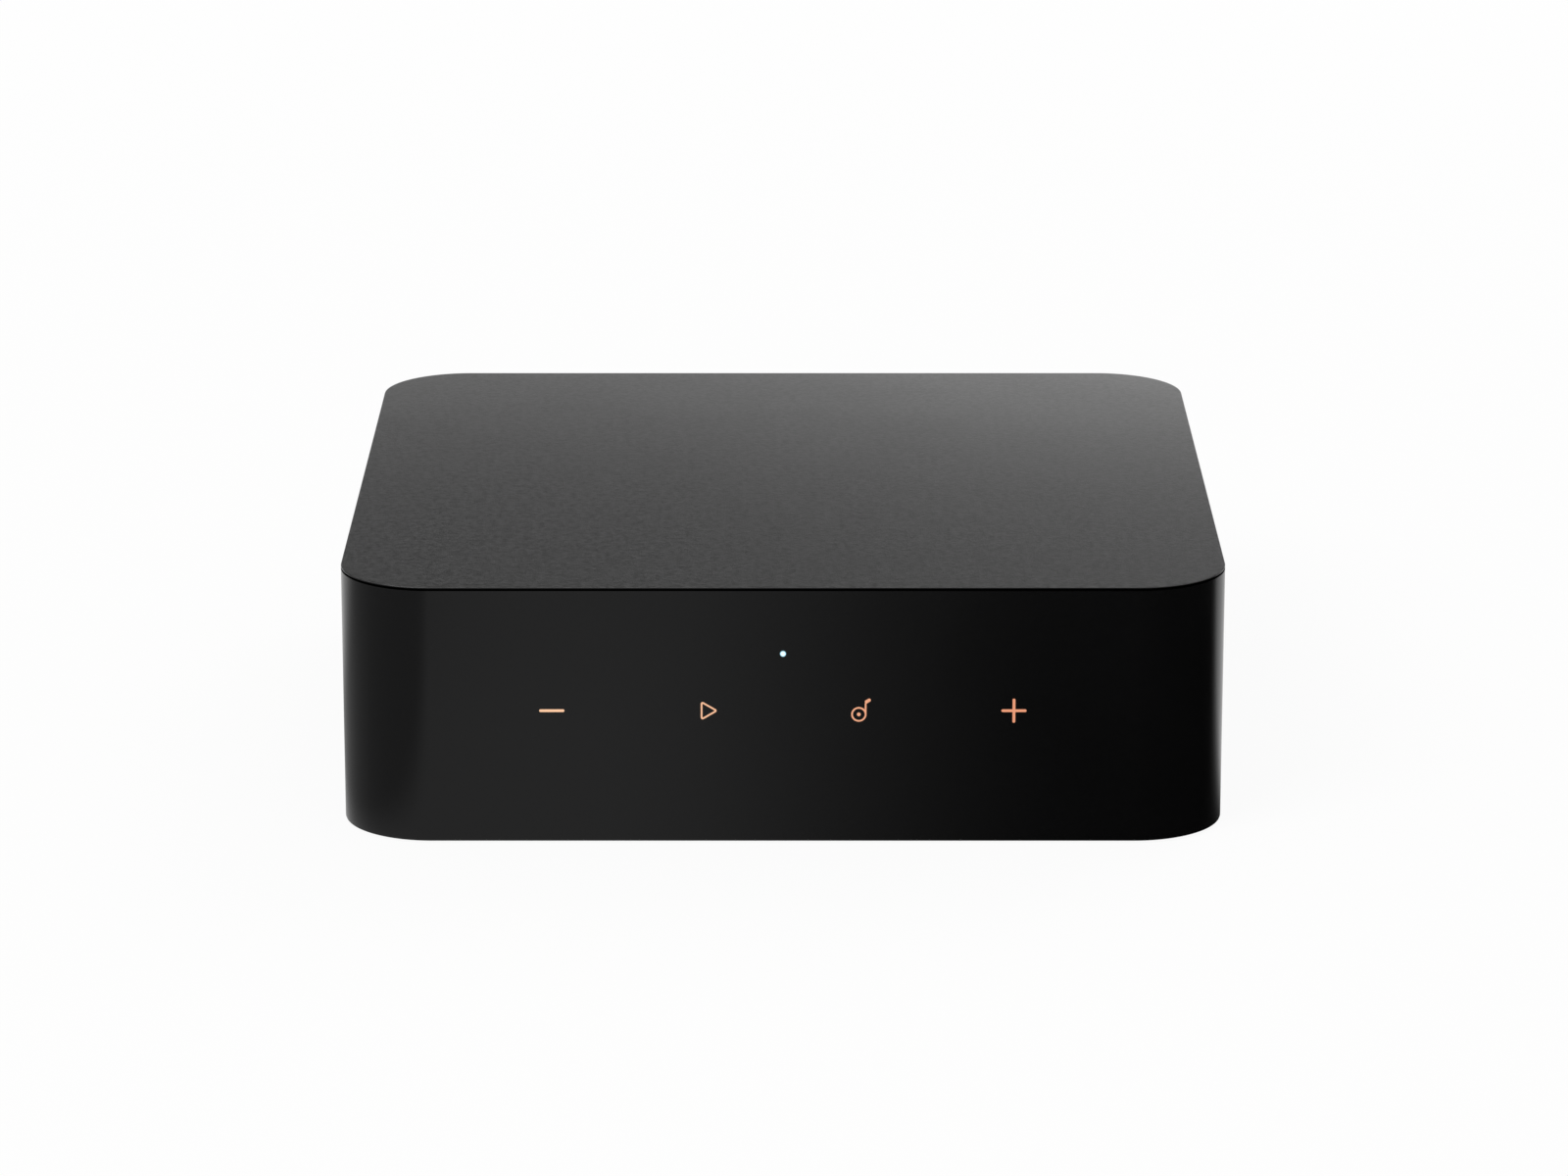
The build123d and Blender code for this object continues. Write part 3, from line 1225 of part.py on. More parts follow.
# Power socket

POWER_MOUTH = PANEL_FACE - POWER_SETBACK


def power_shell():
    """The drawn metal shell of the power socket."""
    back = POWER_MOUTH - POWER_DEPTH
    shell = along_y(power_outline(0), POWER_X, POWER_Z, back, POWER_MOUTH)
    room = power_outline(-POWER_METAL)
    return shell - along_y(room, POWER_X, POWER_Z, back + POWER_METAL, POWER_MOUTH + OVERRUN)


def power_tongue():
    """The moulded base and the contact tongue inside the power socket."""
    back = POWER_MOUTH - POWER_DEPTH + POWER_METAL
    base = along_y(power_outline(-POWER_METAL - CORE_GAP), POWER_X, POWER_Z, back, back + TONGUE_BASE)
    half_x = TONGUE_WIDTH / 2
    half_z = TONGUE_THICK / 2
    tip = POWER_MOUTH - TONGUE_SET_BACK
    return base + block(POWER_X - half_x, POWER_X + half_x, back, tip, POWER_Z - half_z, POWER_Z + half_z)


def build():
    """Every piece of the streamer by the name of its node."""
    pair = (PHONO_LOW_Z, PHONO_HIGH_Z)
    return {
        "top_shell": top_shell(),
        "bottom_cover": bottom_cover(),
        "foot_ring": foot_ring(),
        "cover_screws": cover_screws(),
        "main_board": main_board(),
        "board_screws": board_screws(),
        "streaming_module": streaming_module(),
        "module_shield": module_shield(),
        "thermal_pad": thermal_pad(),
        "heat_sink": heat_sink(),
        "audio_chips": audio_chips(),
        "capacitors": capacitors(),
        "power_coils": power_coils(),
        "network_transformer": network_transformer(),
        "crystals": crystals(),
        "aerial_left": aerial(-1),
        "aerial_right": aerial(1),
        "aerial_lead_left": aerial_lead(-1),
        "aerial_lead_right": aerial_lead(1),
        "aerial_plugs": aerial_plugs(),
        "touch_board": touch_board(),
        "touch_pads": touch_pads(),
        "status_led": status_led(),
        "light_pipe": light_pipe(),
        "ribbon_sockets": ribbon_sockets(),
        "touch_ribbon": touch_ribbon(),
        "rear_panel": rear_panel(),
        "panel_screws": panel_screws(),
        "line_block": line_block(),
        "coax_block": phono_block(COAX_X, COAX_X, PHONO_PLACES[-1:]),
        "line_in_collars": group([phono_collar(LINE_IN_X, z) for z in pair]),
        "line_out_collars": group([phono_collar(LINE_OUT_X, z) for z in pair]),
        "coax_collar": phono_collar(COAX_X, PHONO_LOW_Z),
        "left_channel_cores": group([phono_core(x, PHONO_HIGH_Z) for x in (LINE_IN_X, LINE_OUT_X)]),
        "right_channel_cores": group([phono_core(x, PHONO_LOW_Z) for x in (LINE_IN_X, LINE_OUT_X)]),
        "coax_core": phono_core(COAX_X, PHONO_LOW_Z),
        "phono_contacts": group([phono_contact(x, z) for x, z in PHONO_PLACES]),
        "optical_in_housing": optical_housing(OPTICAL_IN_X),
        "optical_out_housing": optical_housing(OPTICAL_OUT_X),
        "optical_in_shutter": optical_shutter(OPTICAL_IN_X),
        "optical_out_shutter": optical_shutter(OPTICAL_OUT_X),
        "optical_hinge_pins": group([optical_hinge_pin(x) for x in (OPTICAL_IN_X, OPTICAL_OUT_X)]),
        "optical_in_spring": optical_spring(OPTICAL_IN_X),
        "optical_out_spring": optical_spring(OPTICAL_OUT_X),
        "optical_receiver": optical_element(OPTICAL_IN_X),
        "optical_emitter": optical_element(OPTICAL_OUT_X),
        "ethernet_insert": ethernet_insert(),
        "ethernet_shield": ethernet_shield(),
        "ethernet_contacts": ethernet_contacts(),
        "ethernet_windows": signal_windows(0),
        "trigger_housing": trigger_housing(),
        "trigger_nose": trigger_nose(),
        "trigger_spring": trigger_spring(),
        "reset_switch": reset_switch(),
        "reset_plunger": reset_plunger(),
        "reset_button": reset_button(),
        "power_shell": power_shell(),
        "power_tongue": power_tongue(),
    }


os.makedirs("parts", exist_ok=True)
for node, shape in build().items():
    export_step(shape, "parts/" + node + ".step")
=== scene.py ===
"""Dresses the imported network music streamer: finishes, fine pieces, studio and camera."""

import json
import logging
import math
from dataclasses import dataclass
from enum import Enum
from typing import Iterable, Sequence

import bmesh
import bpy
from mathutils import Euler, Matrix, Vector

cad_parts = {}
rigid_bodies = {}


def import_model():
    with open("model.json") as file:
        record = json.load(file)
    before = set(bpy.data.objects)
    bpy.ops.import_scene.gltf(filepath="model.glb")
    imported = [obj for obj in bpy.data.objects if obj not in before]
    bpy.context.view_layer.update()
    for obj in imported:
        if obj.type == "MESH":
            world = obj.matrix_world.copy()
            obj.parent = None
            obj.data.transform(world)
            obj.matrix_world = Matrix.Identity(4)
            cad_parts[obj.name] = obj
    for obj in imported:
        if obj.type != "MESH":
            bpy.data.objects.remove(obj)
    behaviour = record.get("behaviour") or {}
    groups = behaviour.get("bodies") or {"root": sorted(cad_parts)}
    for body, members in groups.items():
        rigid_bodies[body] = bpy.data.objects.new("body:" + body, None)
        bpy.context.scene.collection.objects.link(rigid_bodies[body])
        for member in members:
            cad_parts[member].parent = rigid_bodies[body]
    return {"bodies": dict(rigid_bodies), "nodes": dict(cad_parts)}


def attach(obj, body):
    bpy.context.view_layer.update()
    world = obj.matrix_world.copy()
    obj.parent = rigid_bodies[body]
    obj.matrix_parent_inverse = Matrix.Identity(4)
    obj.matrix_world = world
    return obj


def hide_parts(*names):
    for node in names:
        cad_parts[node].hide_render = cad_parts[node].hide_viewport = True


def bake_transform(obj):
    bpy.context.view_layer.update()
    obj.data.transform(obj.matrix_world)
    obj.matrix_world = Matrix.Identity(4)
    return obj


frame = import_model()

logging.basicConfig(level=logging.INFO, format="%(levelname)s %(message)s")
log = logging.getLogger("streamer")

MM = 0.001
Colour = tuple[float, float, float]
Point = Sequence[float]
Outline = list[tuple[float, float]]
Profile = tuple[tuple[float, float], ...]
Socket = bpy.types.NodeSocket


class Body(Enum):
    """The bodies that the fine pieces ride on."""

    HOUSING = "housing"
    RESET_KEY = "reset_key"


# Outlines and meshes


def circle(radius: float, count: int = 48) -> Outline:
    """Gives points round a circle, in order, from its radius in millimetres and their number."""
    turns = (math.tau * i / count for i in range(count))
    return [(radius * math.cos(turn), radius * math.sin(turn)) for turn in turns]


def arc(radius: float, start: float, end: float, steps: int, centre: Point = (0.0, 0.0)) -> Outline:
    """Gives the points along an arc between two angles in degrees, with both ends."""
    turns = [math.radians(start + (end - start) * i / steps) for i in range(steps + 1)]
    return [(centre[0] + radius * math.cos(turn), centre[1] + radius * math.sin(turn)) for turn in turns]


def rounded(width: float, height: float, radius: float, steps: int = 8) -> Outline:
    """Points round a rectangle with rounded corners.

    Args:
        width: Its full width in millimetres.
        height: Its full height in millimetres.
        radius: The corners' radius in millimetres.
        steps: How many runs each corner has.

    Returns:
        The points, in order, starting at the lower right corner.
    """
    points = []
    for corner, (side, end) in enumerate(((1, -1), (1, 1), (-1, 1), (-1, -1))):
        centre = (side * (width / 2 - radius), end * (height / 2 - radius))
        points += arc(radius, 90 * (corner - 1), 90 * corner, steps, centre)
    return points


def softened(points: Outline, radius: float, steps: int = 8) -> Outline:
    """Rounds the corners of a polygon that turns one way.

    Args:
        points: The polygon's corners, anticlockwise.
        radius: The radius of each rounded corner in millimetres.
        steps: How many runs each corner has.

    Returns:
        The rounded outline.
    """
    result = []
    for i, here in enumerate(points):
        at = Vector(here)
        back = (Vector(points[i - 1]) - at).normalized()
        on = (Vector(points[(i + 1) % len(points)]) - at).normalized()
        half = back.angle(on) / 2
        centre = at + (back + on).normalized() * radius / math.sin(half)
        start = at + back * radius / math.tan(half) - centre
        for step in range(steps + 1):
            turned = spun([(start.x, start.y)], (180 - 2 * math.degrees(half)) * step / steps)
            result += [(centre.x + u, centre.y + v) for u, v in turned]
    return result


def spun(outline: Outline, degrees: float) -> Outline:
    """Turns an outline anticlockwise round its middle by an angle in degrees."""
    cos, sin = math.cos(math.radians(degrees)), math.sin(math.radians(degrees))
    return [(u * cos - v * sin, u * sin + v * cos) for u, v in outline]


def rectangle(width: float, height: float) -> Outline:
    """Gives a rectangle's corners, in order, starting at the lower right one."""
    u, v = width / 2, height / 2
    return [(u, -v), (u, v), (-u, v), (-u, -v)]


def at_y(outline: Outline, x: float, z: float, y: float) -> list[Point]:
    """Stands an outline upright, facing front and rear, round the point (x, z)."""
    return [(x + u, y, z + v) for u, v in outline]


def at_z(outline: Outline, x: float, y: float, z: float) -> list[Point]:
    """Lays an outline flat at height z, round the point (x, y)."""
    return [(x + u, y + v, z) for u, v in outline]


def square_ring(size: float, corner: float, inset: float, z: float, steps: int) -> list[Point]:
    """Lays a rounded square flat at height z, drawn in by an inset on each side."""
    return at_z(rounded(size - 2 * inset, size - 2 * inset, corner - inset, steps), 0, 0, z)


def crease(data: bpy.types.Mesh, degrees: float = 35.0) -> None:
    """Shades a mesh smooth, with hard edges above an angle in degrees."""
    data.shade_smooth()
    data.set_sharp_from_angle(angle=math.radians(degrees))


class Form:
    """A mesh under construction, with its sizes given in millimetres."""

    def __init__(self) -> None:
        """Starts an empty mesh."""
        self.mesh = bmesh.new()

    def loft(self, rings: Sequence[Iterable[Point]], closed: bool = False) -> "Form":
        """Joins rings of equal length into one skin.

        Args:
            rings: The rings, in order.
            closed: Whether the last ring joins the first, as in a tube's wall.

        Returns:
            The same form.
        """
        loops = [[self.mesh.verts.new(Vector(p) * MM) for p in ring] for ring in rings]
        pairs = list(zip(loops, loops[1:]))
        if closed:
            pairs.append((loops[-1], loops[0]))
        else:
            self.mesh.faces.new(loops[0])
            self.mesh.faces.new(loops[-1])
        for first, second in pairs:
            for i in range(len(first)):
                j = (i + 1) % len(first)
                self.mesh.faces.new((first[i], first[j], second[j], second[i]))
        return self

    def turned(self, profile: Outline, x: float, z: float, closed: bool = True, count: int = 48) -> "Form":
        """Adds a piece turned round an axis from front to rear, from the radius and y of each ring."""
        return self.loft([at_y(circle(radius, count), x, z, y) for radius, y in profile], closed)

    def post(self, profile: Outline, x: float, y: float) -> "Form":
        """Adds an upright sleeve, from the radius and height of each ring."""
        return self.loft([at_z(circle(radius, 32), x, y, z) for radius, z in profile], True)

    def block(self, low: Point, high: Point) -> "Form":
        """Adds a straight block.

        Args:
            low: Its lowest corner.
            high: Its highest corner.

        Returns:
            The same form.
        """
        x, y = (low[0] + high[0]) / 2, (low[1] + high[1]) / 2
        flat = rectangle(high[0] - low[0], high[1] - low[1])
        return self.loft([at_z(flat, x, y, z) for z in (low[2], high[2])])

    def pair(self, box: Sequence[float], low: float, high: float) -> None:
        """Adds a straight block and its mirror image on the other side of the case.

        Args:
            box: Their near side, far side, front and rear.
            low: Their lower end.
            high: Their upper end.
        """
        near, far, front, rear = box
        for side in (-1, 1):
            left, right = sorted((side * near, side * far))
            self.block((left, front, low), (right, rear, high))

    def prism(self, outline: Outline, x: float, z: float, y_low: float, y_high: float) -> "Form":
        """Adds an upright outline drawn out from front to rear."""
        return self.loft([at_y(outline, x, z, y) for y in (y_low, y_high)])

    def make(self, name: str, soften: float = 0.0, hard: float = 35.0) -> bpy.types.Object:
        """Turns the form into an object.

        Args:
            name: The piece's name.
            soften: How far its hard edges are rounded, in millimetres.
            hard: Above this angle in degrees an edge stays hard.

        Returns:
            The new object, in the frame of the case.
        """
        bmesh.ops.recalc_face_normals(self.mesh, faces=self.mesh.faces)
        data = bpy.data.meshes.new(name)
        self.mesh.to_mesh(data)
        self.mesh.free()
        piece = bpy.data.objects.new(name, data)
        bpy.context.scene.collection.objects.link(piece)
        crease(data, hard)
        if soften:
            bevel = piece.modifiers.new("soft_edges", "BEVEL")
            bevel.width = soften * MM
            bevel.segments = 2
            bevel.limit_method = "ANGLE"
            bevel.angle_limit = math.radians(hard)
            bevel.harden_normals = True
        return piece


def settle(piece: bpy.types.Object) -> None:
    """Applies all modifiers of a piece to its mesh.

    Args:
        piece: The piece.
    """
    graph = bpy.context.evaluated_depsgraph_get()
    fresh = bpy.data.meshes.new_from_object(piece.evaluated_get(graph))
    piece.modifiers.clear()
    piece.data = fresh


def cut(piece: bpy.types.Object, tool: bpy.types.Object) -> None:
    """Takes one piece's volume out of another and throws the tool away.

    Args:
        piece: The piece that is cut.
        tool: The piece that cuts.
    """
    boolean = piece.modifiers.new("cut", "BOOLEAN")
    boolean.object = tool
    boolean.operation = "DIFFERENCE"
    boolean.solver = "EXACT"
    settle(piece)
    bpy.data.objects.remove(tool)


def flat_sign(name: str, outlines: Sequence[Outline], at: Point, depth: float) -> bpy.types.Object:
    """Makes a thin printed sign that faces the front.

    Args:
        name: The piece's name.
        outlines: Its outlines in millimetres; one inside another is a hole.
        at: Where its middle is, on the wall.
        depth: How far it stands off the wall, in millimetres.

    Returns:
        The new object.
    """
    curve = bpy.data.curves.new(name, "CURVE")
    curve.dimensions = "2D"
    curve.fill_mode = "BOTH"
    curve.extrude = depth * MM
    for outline in outlines:
        spline = curve.splines.new("POLY")
        spline.points.add(len(outline) - 1)
        for point, (u, v) in zip(spline.points, outline):
            point.co = (u * MM, v * MM, 0, 1)
        spline.use_cyclic_u = True
    holder = bpy.data.objects.new(name + "_outline", curve)
    bpy.context.scene.collection.objects.link(holder)
    holder.rotation_euler = Euler((math.radians(90), 0, 0))
    holder.location = Vector(at) * MM
    bpy.context.view_layer.update()
    graph = bpy.context.evaluated_depsgraph_get()
    data = bpy.data.meshes.new_from_object(holder.evaluated_get(graph))
    data.transform(holder.matrix_world)
    bpy.data.objects.remove(holder)
    piece = bpy.data.objects.new(name, data)
    bpy.context.scene.collection.objects.link(piece)
    return piece


# Shared effects: shader groups that put out masks and heights


class Graph:
    """A node tree with short ways to add and join nodes."""

    def __init__(self, tree: bpy.types.NodeTree) -> None:
        """Wraps a tree."""
        self.tree = tree

    def feed(self, socket: Socket, value: object) -> None:
        """Links another socket to an input, or sets its value.

        Args:
            socket: The input.
            value: The other socket, or the value.
        """
        if isinstance(value, Socket):
            self.tree.links.new(value, socket)
        elif isinstance(value, tuple) and socket.type == "RGBA":
            socket.default_value = (*value, 1)
        else:
            socket.default_value = value

    def add(self, kind: str, *values: object, **settings: object) -> bpy.types.Node:
        """Adds a node.

        Args:
            kind: The node's type, without its common first word.
            values: What its inputs get, in order; None leaves one as it is.
            settings: Its properties.

        Returns:
            The node.
        """
        node = self.tree.nodes.new("ShaderNode" + kind)
        for key, value in settings.items():
            setattr(node, key, value)
        for socket, value in zip(node.inputs, values):
            if value is not None:
                self.feed(socket, value)
        return node

    def math(self, operation: str, *values: object) -> Socket:
        """Gives what a maths operation makes of its values."""
        return self.add("Math", *values, operation=operation).outputs[0]

    def length(self, u: object, v: object) -> Socket:
        """Gives how far a point is from the middle, from its two distances."""
        squares = [self.math("MULTIPLY", part, part) for part in (u, v)]
        return self.math("SQRT", self.math("ADD", *squares))

    def span(self, value: object, low: object, high: object, *ends: object) -> Socket:
        """Maps the range from low to high smoothly to the one between two ends, or to 0 to 1."""
        given = (value, low, high, *(ends or (0.0, 1.0)))
        return self.add("MapRange", *given, interpolation_type="SMOOTHSTEP").outputs[0]

    def blend(self, share: object, first: object, second: object) -> Socket:
        """Mixes two colours, with a share of the second."""
        unused = [None] * 5
        return self.add("Mix", share, *unused, first, second, data_type="RGBA").outputs[2]

    def place(self) -> Socket:
        """Gives the point on the piece, in the frame of the case."""
        return self.add("TexCoord").outputs["Object"]

    def noise(self, scale: object, detail: float, vector: object = None) -> Socket:
        """Gives noise from 0 to 1, read at a vector or else at the point on the piece."""
        at = self.place() if vector is None else vector
        return self.add("TexNoise", at, None, scale, detail).outputs[0]

    def cells(self, scale: object, **settings: object) -> Socket:
        """Gives the distance to the middle of the nearest of the cells that fill the piece."""
        return self.add("TexVoronoi", self.place(), None, scale, **settings).outputs["Distance"]

    def axes(self, vector: object) -> tuple[Socket, ...]:
        """Splits a vector into its three parts."""
        return tuple(self.add("SeparateXYZ", vector).outputs)

    def shade(self, end: str, share: object, first: object, second: object) -> Socket:
        """Sends a mix of two shaders to the tree's end.

        Args:
            end: The name of the node at the end.
            share: How much of the second shader is taken.
            first: The first shader.
            second: The second shader.

        Returns:
            The input that takes the share.
        """
        mix = self.add("MixShader", share, first, second)
        self.feed(self.tree.nodes[end].inputs["Surface"], mix.outputs[0])
        return mix.inputs[0]


class Effect(Graph):
    """A shader group with named inputs and one or more named outputs."""

    def __init__(self, name: str, inputs: dict[str, float], outputs: Sequence[str]) -> None:
        """Makes the group and its sockets.

        Args:
            name: The group's name.
            inputs: Each input's name and usual value.
            outputs: Each output's name.
        """
        super().__init__(bpy.data.node_groups.new(name, "ShaderNodeTree"))
        for title, usual in inputs.items():
            socket = self.tree.interface.new_socket(title, in_out="INPUT", socket_type="NodeSocketFloat")
            socket.default_value = usual
        for title in outputs:
            self.tree.interface.new_socket(title, in_out="OUTPUT", socket_type="NodeSocketFloat")
        self.source = self.tree.nodes.new("NodeGroupInput")
        self.sink = self.tree.nodes.new("NodeGroupOutput")

    def given(self, title: str) -> Socket:
        """Gives an input of the group, for use inside it."""
        return self.source.outputs[title]

    def give(self, title: str, value: Socket) -> None:
        """Sets what an output of the group gives."""
        self.tree.links.new(value, self.sink.inputs[title])


def moulded_grain() -> bpy.types.NodeTree:
    """Builds the fine pitted grain of a spark-eroded mould.

    Returns:
        The group.
    """
    effect = Effect("moulded_grain", {"Scale": 3000.0}, ("Height", "Speckle"))
    pits = effect.cells(effect.given("Scale"), feature="SMOOTH_F1")
    fine = effect.noise(effect.math("MULTIPLY", effect.given("Scale"), 1.7), 3.0)
    effect.give("Height", effect.math("MULTIPLY_ADD", pits, 0.6, fine))
    effect.give("Speckle", effect.span(fine, 0.35, 0.68))
    return effect.tree


def broad_mottle() -> bpy.types.NodeTree:
    """Builds slow, faint changes over a surface, as from handling and cooling.

    Returns:
        The group.
    """
    effect = Effect("broad_mottle", {"Scale": 60.0}, ("Value",))
    slow = effect.noise(effect.given("Scale"), 3.0)
    effect.give("Value", effect.span(slow, 0.3, 0.7))
    return effect.tree


def settled_dust() -> bpy.types.NodeTree:
    """Builds a mask of fine dust on faces that point up.

    Returns:
        The group.
    """
    effect = Effect("settled_dust", {"Amount": 0.3, "Scale": 900.0}, ("Mask",))
    up = effect.axes(effect.add("NewGeometry").outputs["Normal"])[2]
    flecks = effect.span(effect.noise(effect.given("Scale"), 5.0), 0.5, 0.8)
    lying = effect.math("MULTIPLY", effect.span(up, 0.4, 1.0), flecks)
    effect.give("Mask", effect.math("MULTIPLY", lying, effect.given("Amount")))
    return effect.tree


def edge_wear() -> bpy.types.NodeTree:
    """Builds a mask along convex edges, broken up by noise.

    Returns:
        The group.
    """
    effect = Effect("edge_wear", {"Amount": 0.5, "Scale": 700.0}, ("Mask",))
    edge = effect.span(effect.add("NewGeometry").outputs["Pointiness"], 0.52, 0.62)
    broken = effect.span(effect.noise(effect.given("Scale"), 4.0), 0.35, 0.65)
    worn = effect.math("MULTIPLY", edge, broken)
    effect.give("Mask", effect.math("MULTIPLY", worn, effect.given("Amount")))
    return effect.tree


def fine_scratches() -> bpy.types.NodeTree:
    """Builds fine lines that run across a sheet or a turned piece.

    Returns:
        The group.
    """
    effect = Effect("fine_scratches", {"Scale": 1.0}, ("Height", "Mask"))
    long_x = effect.add("Mapping", effect.place())
    long_x.inputs["Scale"].default_value = (300.0, 9000.0, 9000.0)
    scaled = effect.add("VectorMath", long_x.outputs[0], operation="SCALE")
    effect.feed(scaled.inputs["Scale"], effect.given("Scale"))
    lines = effect.noise(1.0, 3.0, scaled.outputs[0])
    effect.give("Height", lines)
    effect.give("Mask", effect.span(lines, 0.52, 0.72))
    return effect.tree


def board_tracks() -> bpy.types.NodeTree:
    """Builds the raised copper tracks and pads under a board's resist.

    Returns:
        The group.
    """
    effect = Effect("board_tracks", {"Scale": 260.0}, ("Height", "Pads"))
    runs = effect.cells(effect.given("Scale"), distance="MANHATTAN", feature="F1")
    band = effect.math("PINGPONG", effect.math("MULTIPLY", runs, 9.0), 1.0)
    spots = effect.cells(effect.math("MULTIPLY", effect.given("Scale"), 1.6), feature="F1")
    effect.give("Height", effect.span(band, 0.35, 0.5))
    effect.give("Pads", effect.span(spots, 0.16, 0.12))
    return effect.tree


class Effects(Enum):
    """The shared effects."""

    GRAIN = "moulded_grain"
    MOTTLE = "broad_mottle"
    DUST = "settled_dust"
    WEAR = "edge_wear"
    SCRATCHES = "fine_scratches"
    TRACKS = "board_tracks"


EFFECT_MAKERS = {
    maker.__name__: maker
    for maker in (moulded_grain, broad_mottle, settled_dust, edge_wear, fine_scratches, board_tracks)
}


class Paint(Graph):
    """A material whose Principled BSDF is fed by the shared effects."""

    def __init__(self, name: str) -> None:
        """Makes the material.

        Args:
            name: The material's name.
        """
        self.material = bpy.data.materials.new(name)
        self.material.use_nodes = True
        super().__init__(self.material.node_tree)
        self.shader = self.tree.nodes["Principled BSDF"]

    def effect(self, which: Effects, **values: float) -> bpy.types.Node:
        """Places a shared effect with its own values.

        Args:
            which: The effect.
            values: Values for its inputs, by name.

        Returns:
            The group's node.
        """
        tree = bpy.data.node_groups.get(which.value) or EFFECT_MAKERS[which.value]()
        node = self.add("Group", node_tree=tree)
        for title, value in values.items():
            node.inputs[title].default_value = value
        return node

    def set(self, **values: object) -> None:
        """Feeds the shader's inputs, whose names are given with _ for a space."""
        for title, value in values.items():
            self.feed(self.shader.inputs[title.replace("_", " ")], value)

    def bump(self, height: Socket, depth: float) -> None:
        """Raises the surface by a height.

        Args:
            height: The height, from 0 to about 1.
            depth: How high 1 is, in millimetres.
        """
        node = self.add("Bump")
        for title, value in (("Height", height), ("Distance", depth * MM), ("Strength", 1.0)):
            self.feed(node.inputs[title], value)
        self.set(Normal=node.outputs[0])


# Finishes

DUST_COLOUR: Colour = (0.3, 0.29, 0.27)
TIN_COLOUR: Colour = (0.7, 0.69, 0.66)


def tone(colour: Colour, share: float, lift: float = 0.0) -> Colour:
    """Gives a colour times a share, with a lift added to each part."""
    return tuple(min(1.0, part * share + lift) for part in colour)


@dataclass(frozen=True)
class Finish:
    """A finish, which a material is made from."""

    name: str

    def mix(self, paint: Paint) -> None:
        """Feeds the material's shader; each finish has its own way."""
        raise NotImplementedError

    def material(self) -> bpy.types.Material:
        """Builds the material.

        Returns:
            The material.
        """
        paint = Paint(self.name)
        self.mix(paint)
        return paint.material


@dataclass(frozen=True)
class MouldedPlastic(Finish):
    """Moulded plastic with a fine grain, some mottle and a little dust."""

    colour: Colour
    roughness: float = 0.5
    gloss: float = 0.4
    grain: float = 3000.0
    depth: float = 0.02
    dust: float = 0.15
    wear: float = 0.2

    def mix(self, paint: Paint) -> None:
        """Feeds the material's shader.

        Args:
            paint: The material that is mixed.
        """
        grain = paint.effect(Effects.GRAIN, Scale=self.grain)
        slow = paint.effect(Effects.MOTTLE, Scale=90.0).outputs[0]
        dark = tone(self.colour, 0.82)
        light = tone(self.colour, 1.15, 0.001)
        base = paint.blend(grain.outputs["Speckle"], dark, light)
        worn = paint.effect(Effects.WEAR, Amount=self.wear).outputs[0]
        base = paint.blend(worn, base, tone(self.colour, 1.6, 0.02))
        dust = paint.effect(Effects.DUST, Amount=self.dust).outputs[0]
        paint.set(Base_Color=paint.blend(dust, base, DUST_COLOUR), Specular_IOR_Level=self.gloss)
        paint.set(Roughness=paint.span(slow, 0.0, 1.0, self.roughness - 0.05, self.roughness + 0.06))
        paint.bump(grain.outputs["Height"], self.depth)


@dataclass(frozen=True)
class SatinWall(Finish):
    """The case's smooth satin walls."""

    name: str = "satin_wall"
    colour: Colour = (0.0021, 0.0021, 0.0022)
    roughness: float = 0.2

    def mix(self, paint: Paint) -> None:
        """Feeds the material's shader.

        Args:
            paint: The material that is mixed.
        """
        grain = paint.effect(Effects.GRAIN, Scale=2600.0)
        slow = paint.effect(Effects.MOTTLE, Scale=40.0).outputs[0]
        paint.set(Base_Color=paint.blend(grain.outputs["Speckle"], self.colour, tone(self.colour, 1.4)))
        paint.set(Roughness=paint.span(slow, 0.0, 1.0, self.roughness, self.roughness + 0.025))
        paint.set(Specular_IOR_Level=0.21)
        paint.bump(grain.outputs["Height"], 0.0018)


@dataclass(frozen=True)
class TexturedRoof(Finish):
    """The case's matte roof, with the fine pits of its mould and a trace of dust."""

    name: str = "textured_roof"
    colour: Colour = (0.0705, 0.0705, 0.0705)
    dust: Colour = (0.3, 0.3, 0.29)
    roughness: float = 0.3

    def mix(self, paint: Paint) -> None:
        """Feeds the material's shader.

        Args:
            paint: The material that is mixed.
        """
        grain = paint.effect(Effects.GRAIN, Scale=2600.0)
        slow = paint.effect(Effects.MOTTLE, Scale=40.0).outputs[0]
        dust = paint.effect(Effects.DUST, Amount=0.1, Scale=1500.0).outputs[0]
        coarse = paint.effect(Effects.GRAIN, Scale=520.0).outputs["Speckle"]
        base = paint.blend(grain.outputs["Speckle"], tone(self.colour, 0.7), self.colour)
        base = paint.blend(coarse, base, tone(self.colour, 0.46))
        paint.set(Base_Color=paint.blend(dust, base, self.dust), Specular_IOR_Level=0.6)
        paint.set(Roughness=paint.span(slow, 0.0, 1.0, self.roughness, self.roughness + 0.015))
        paint.bump(grain.outputs["Height"], 0.03)


@dataclass(frozen=True)
class Rubber(Finish):
    """Soft matte rubber with a fine bloom."""

    colour: Colour = (0.018, 0.018, 0.018)
    gloss: float = 0.3

    def mix(self, paint: Paint) -> None:
        """Feeds the material's shader.

        Args:
            paint: The material that is mixed.
        """
        grain = paint.effect(Effects.GRAIN, Scale=1800.0)
        slow = paint.effect(Effects.MOTTLE, Scale=120.0).outputs[0]
        bloom = paint.blend(slow, self.colour, tone(self.colour, 1.7))
        paint.set(Base_Color=bloom, Specular_IOR_Level=self.gloss)
        paint.set(Roughness=paint.span(grain.outputs["Speckle"], 0.0, 1.0, 0.72, 0.84))
        paint.bump(grain.outputs["Height"], 0.03)


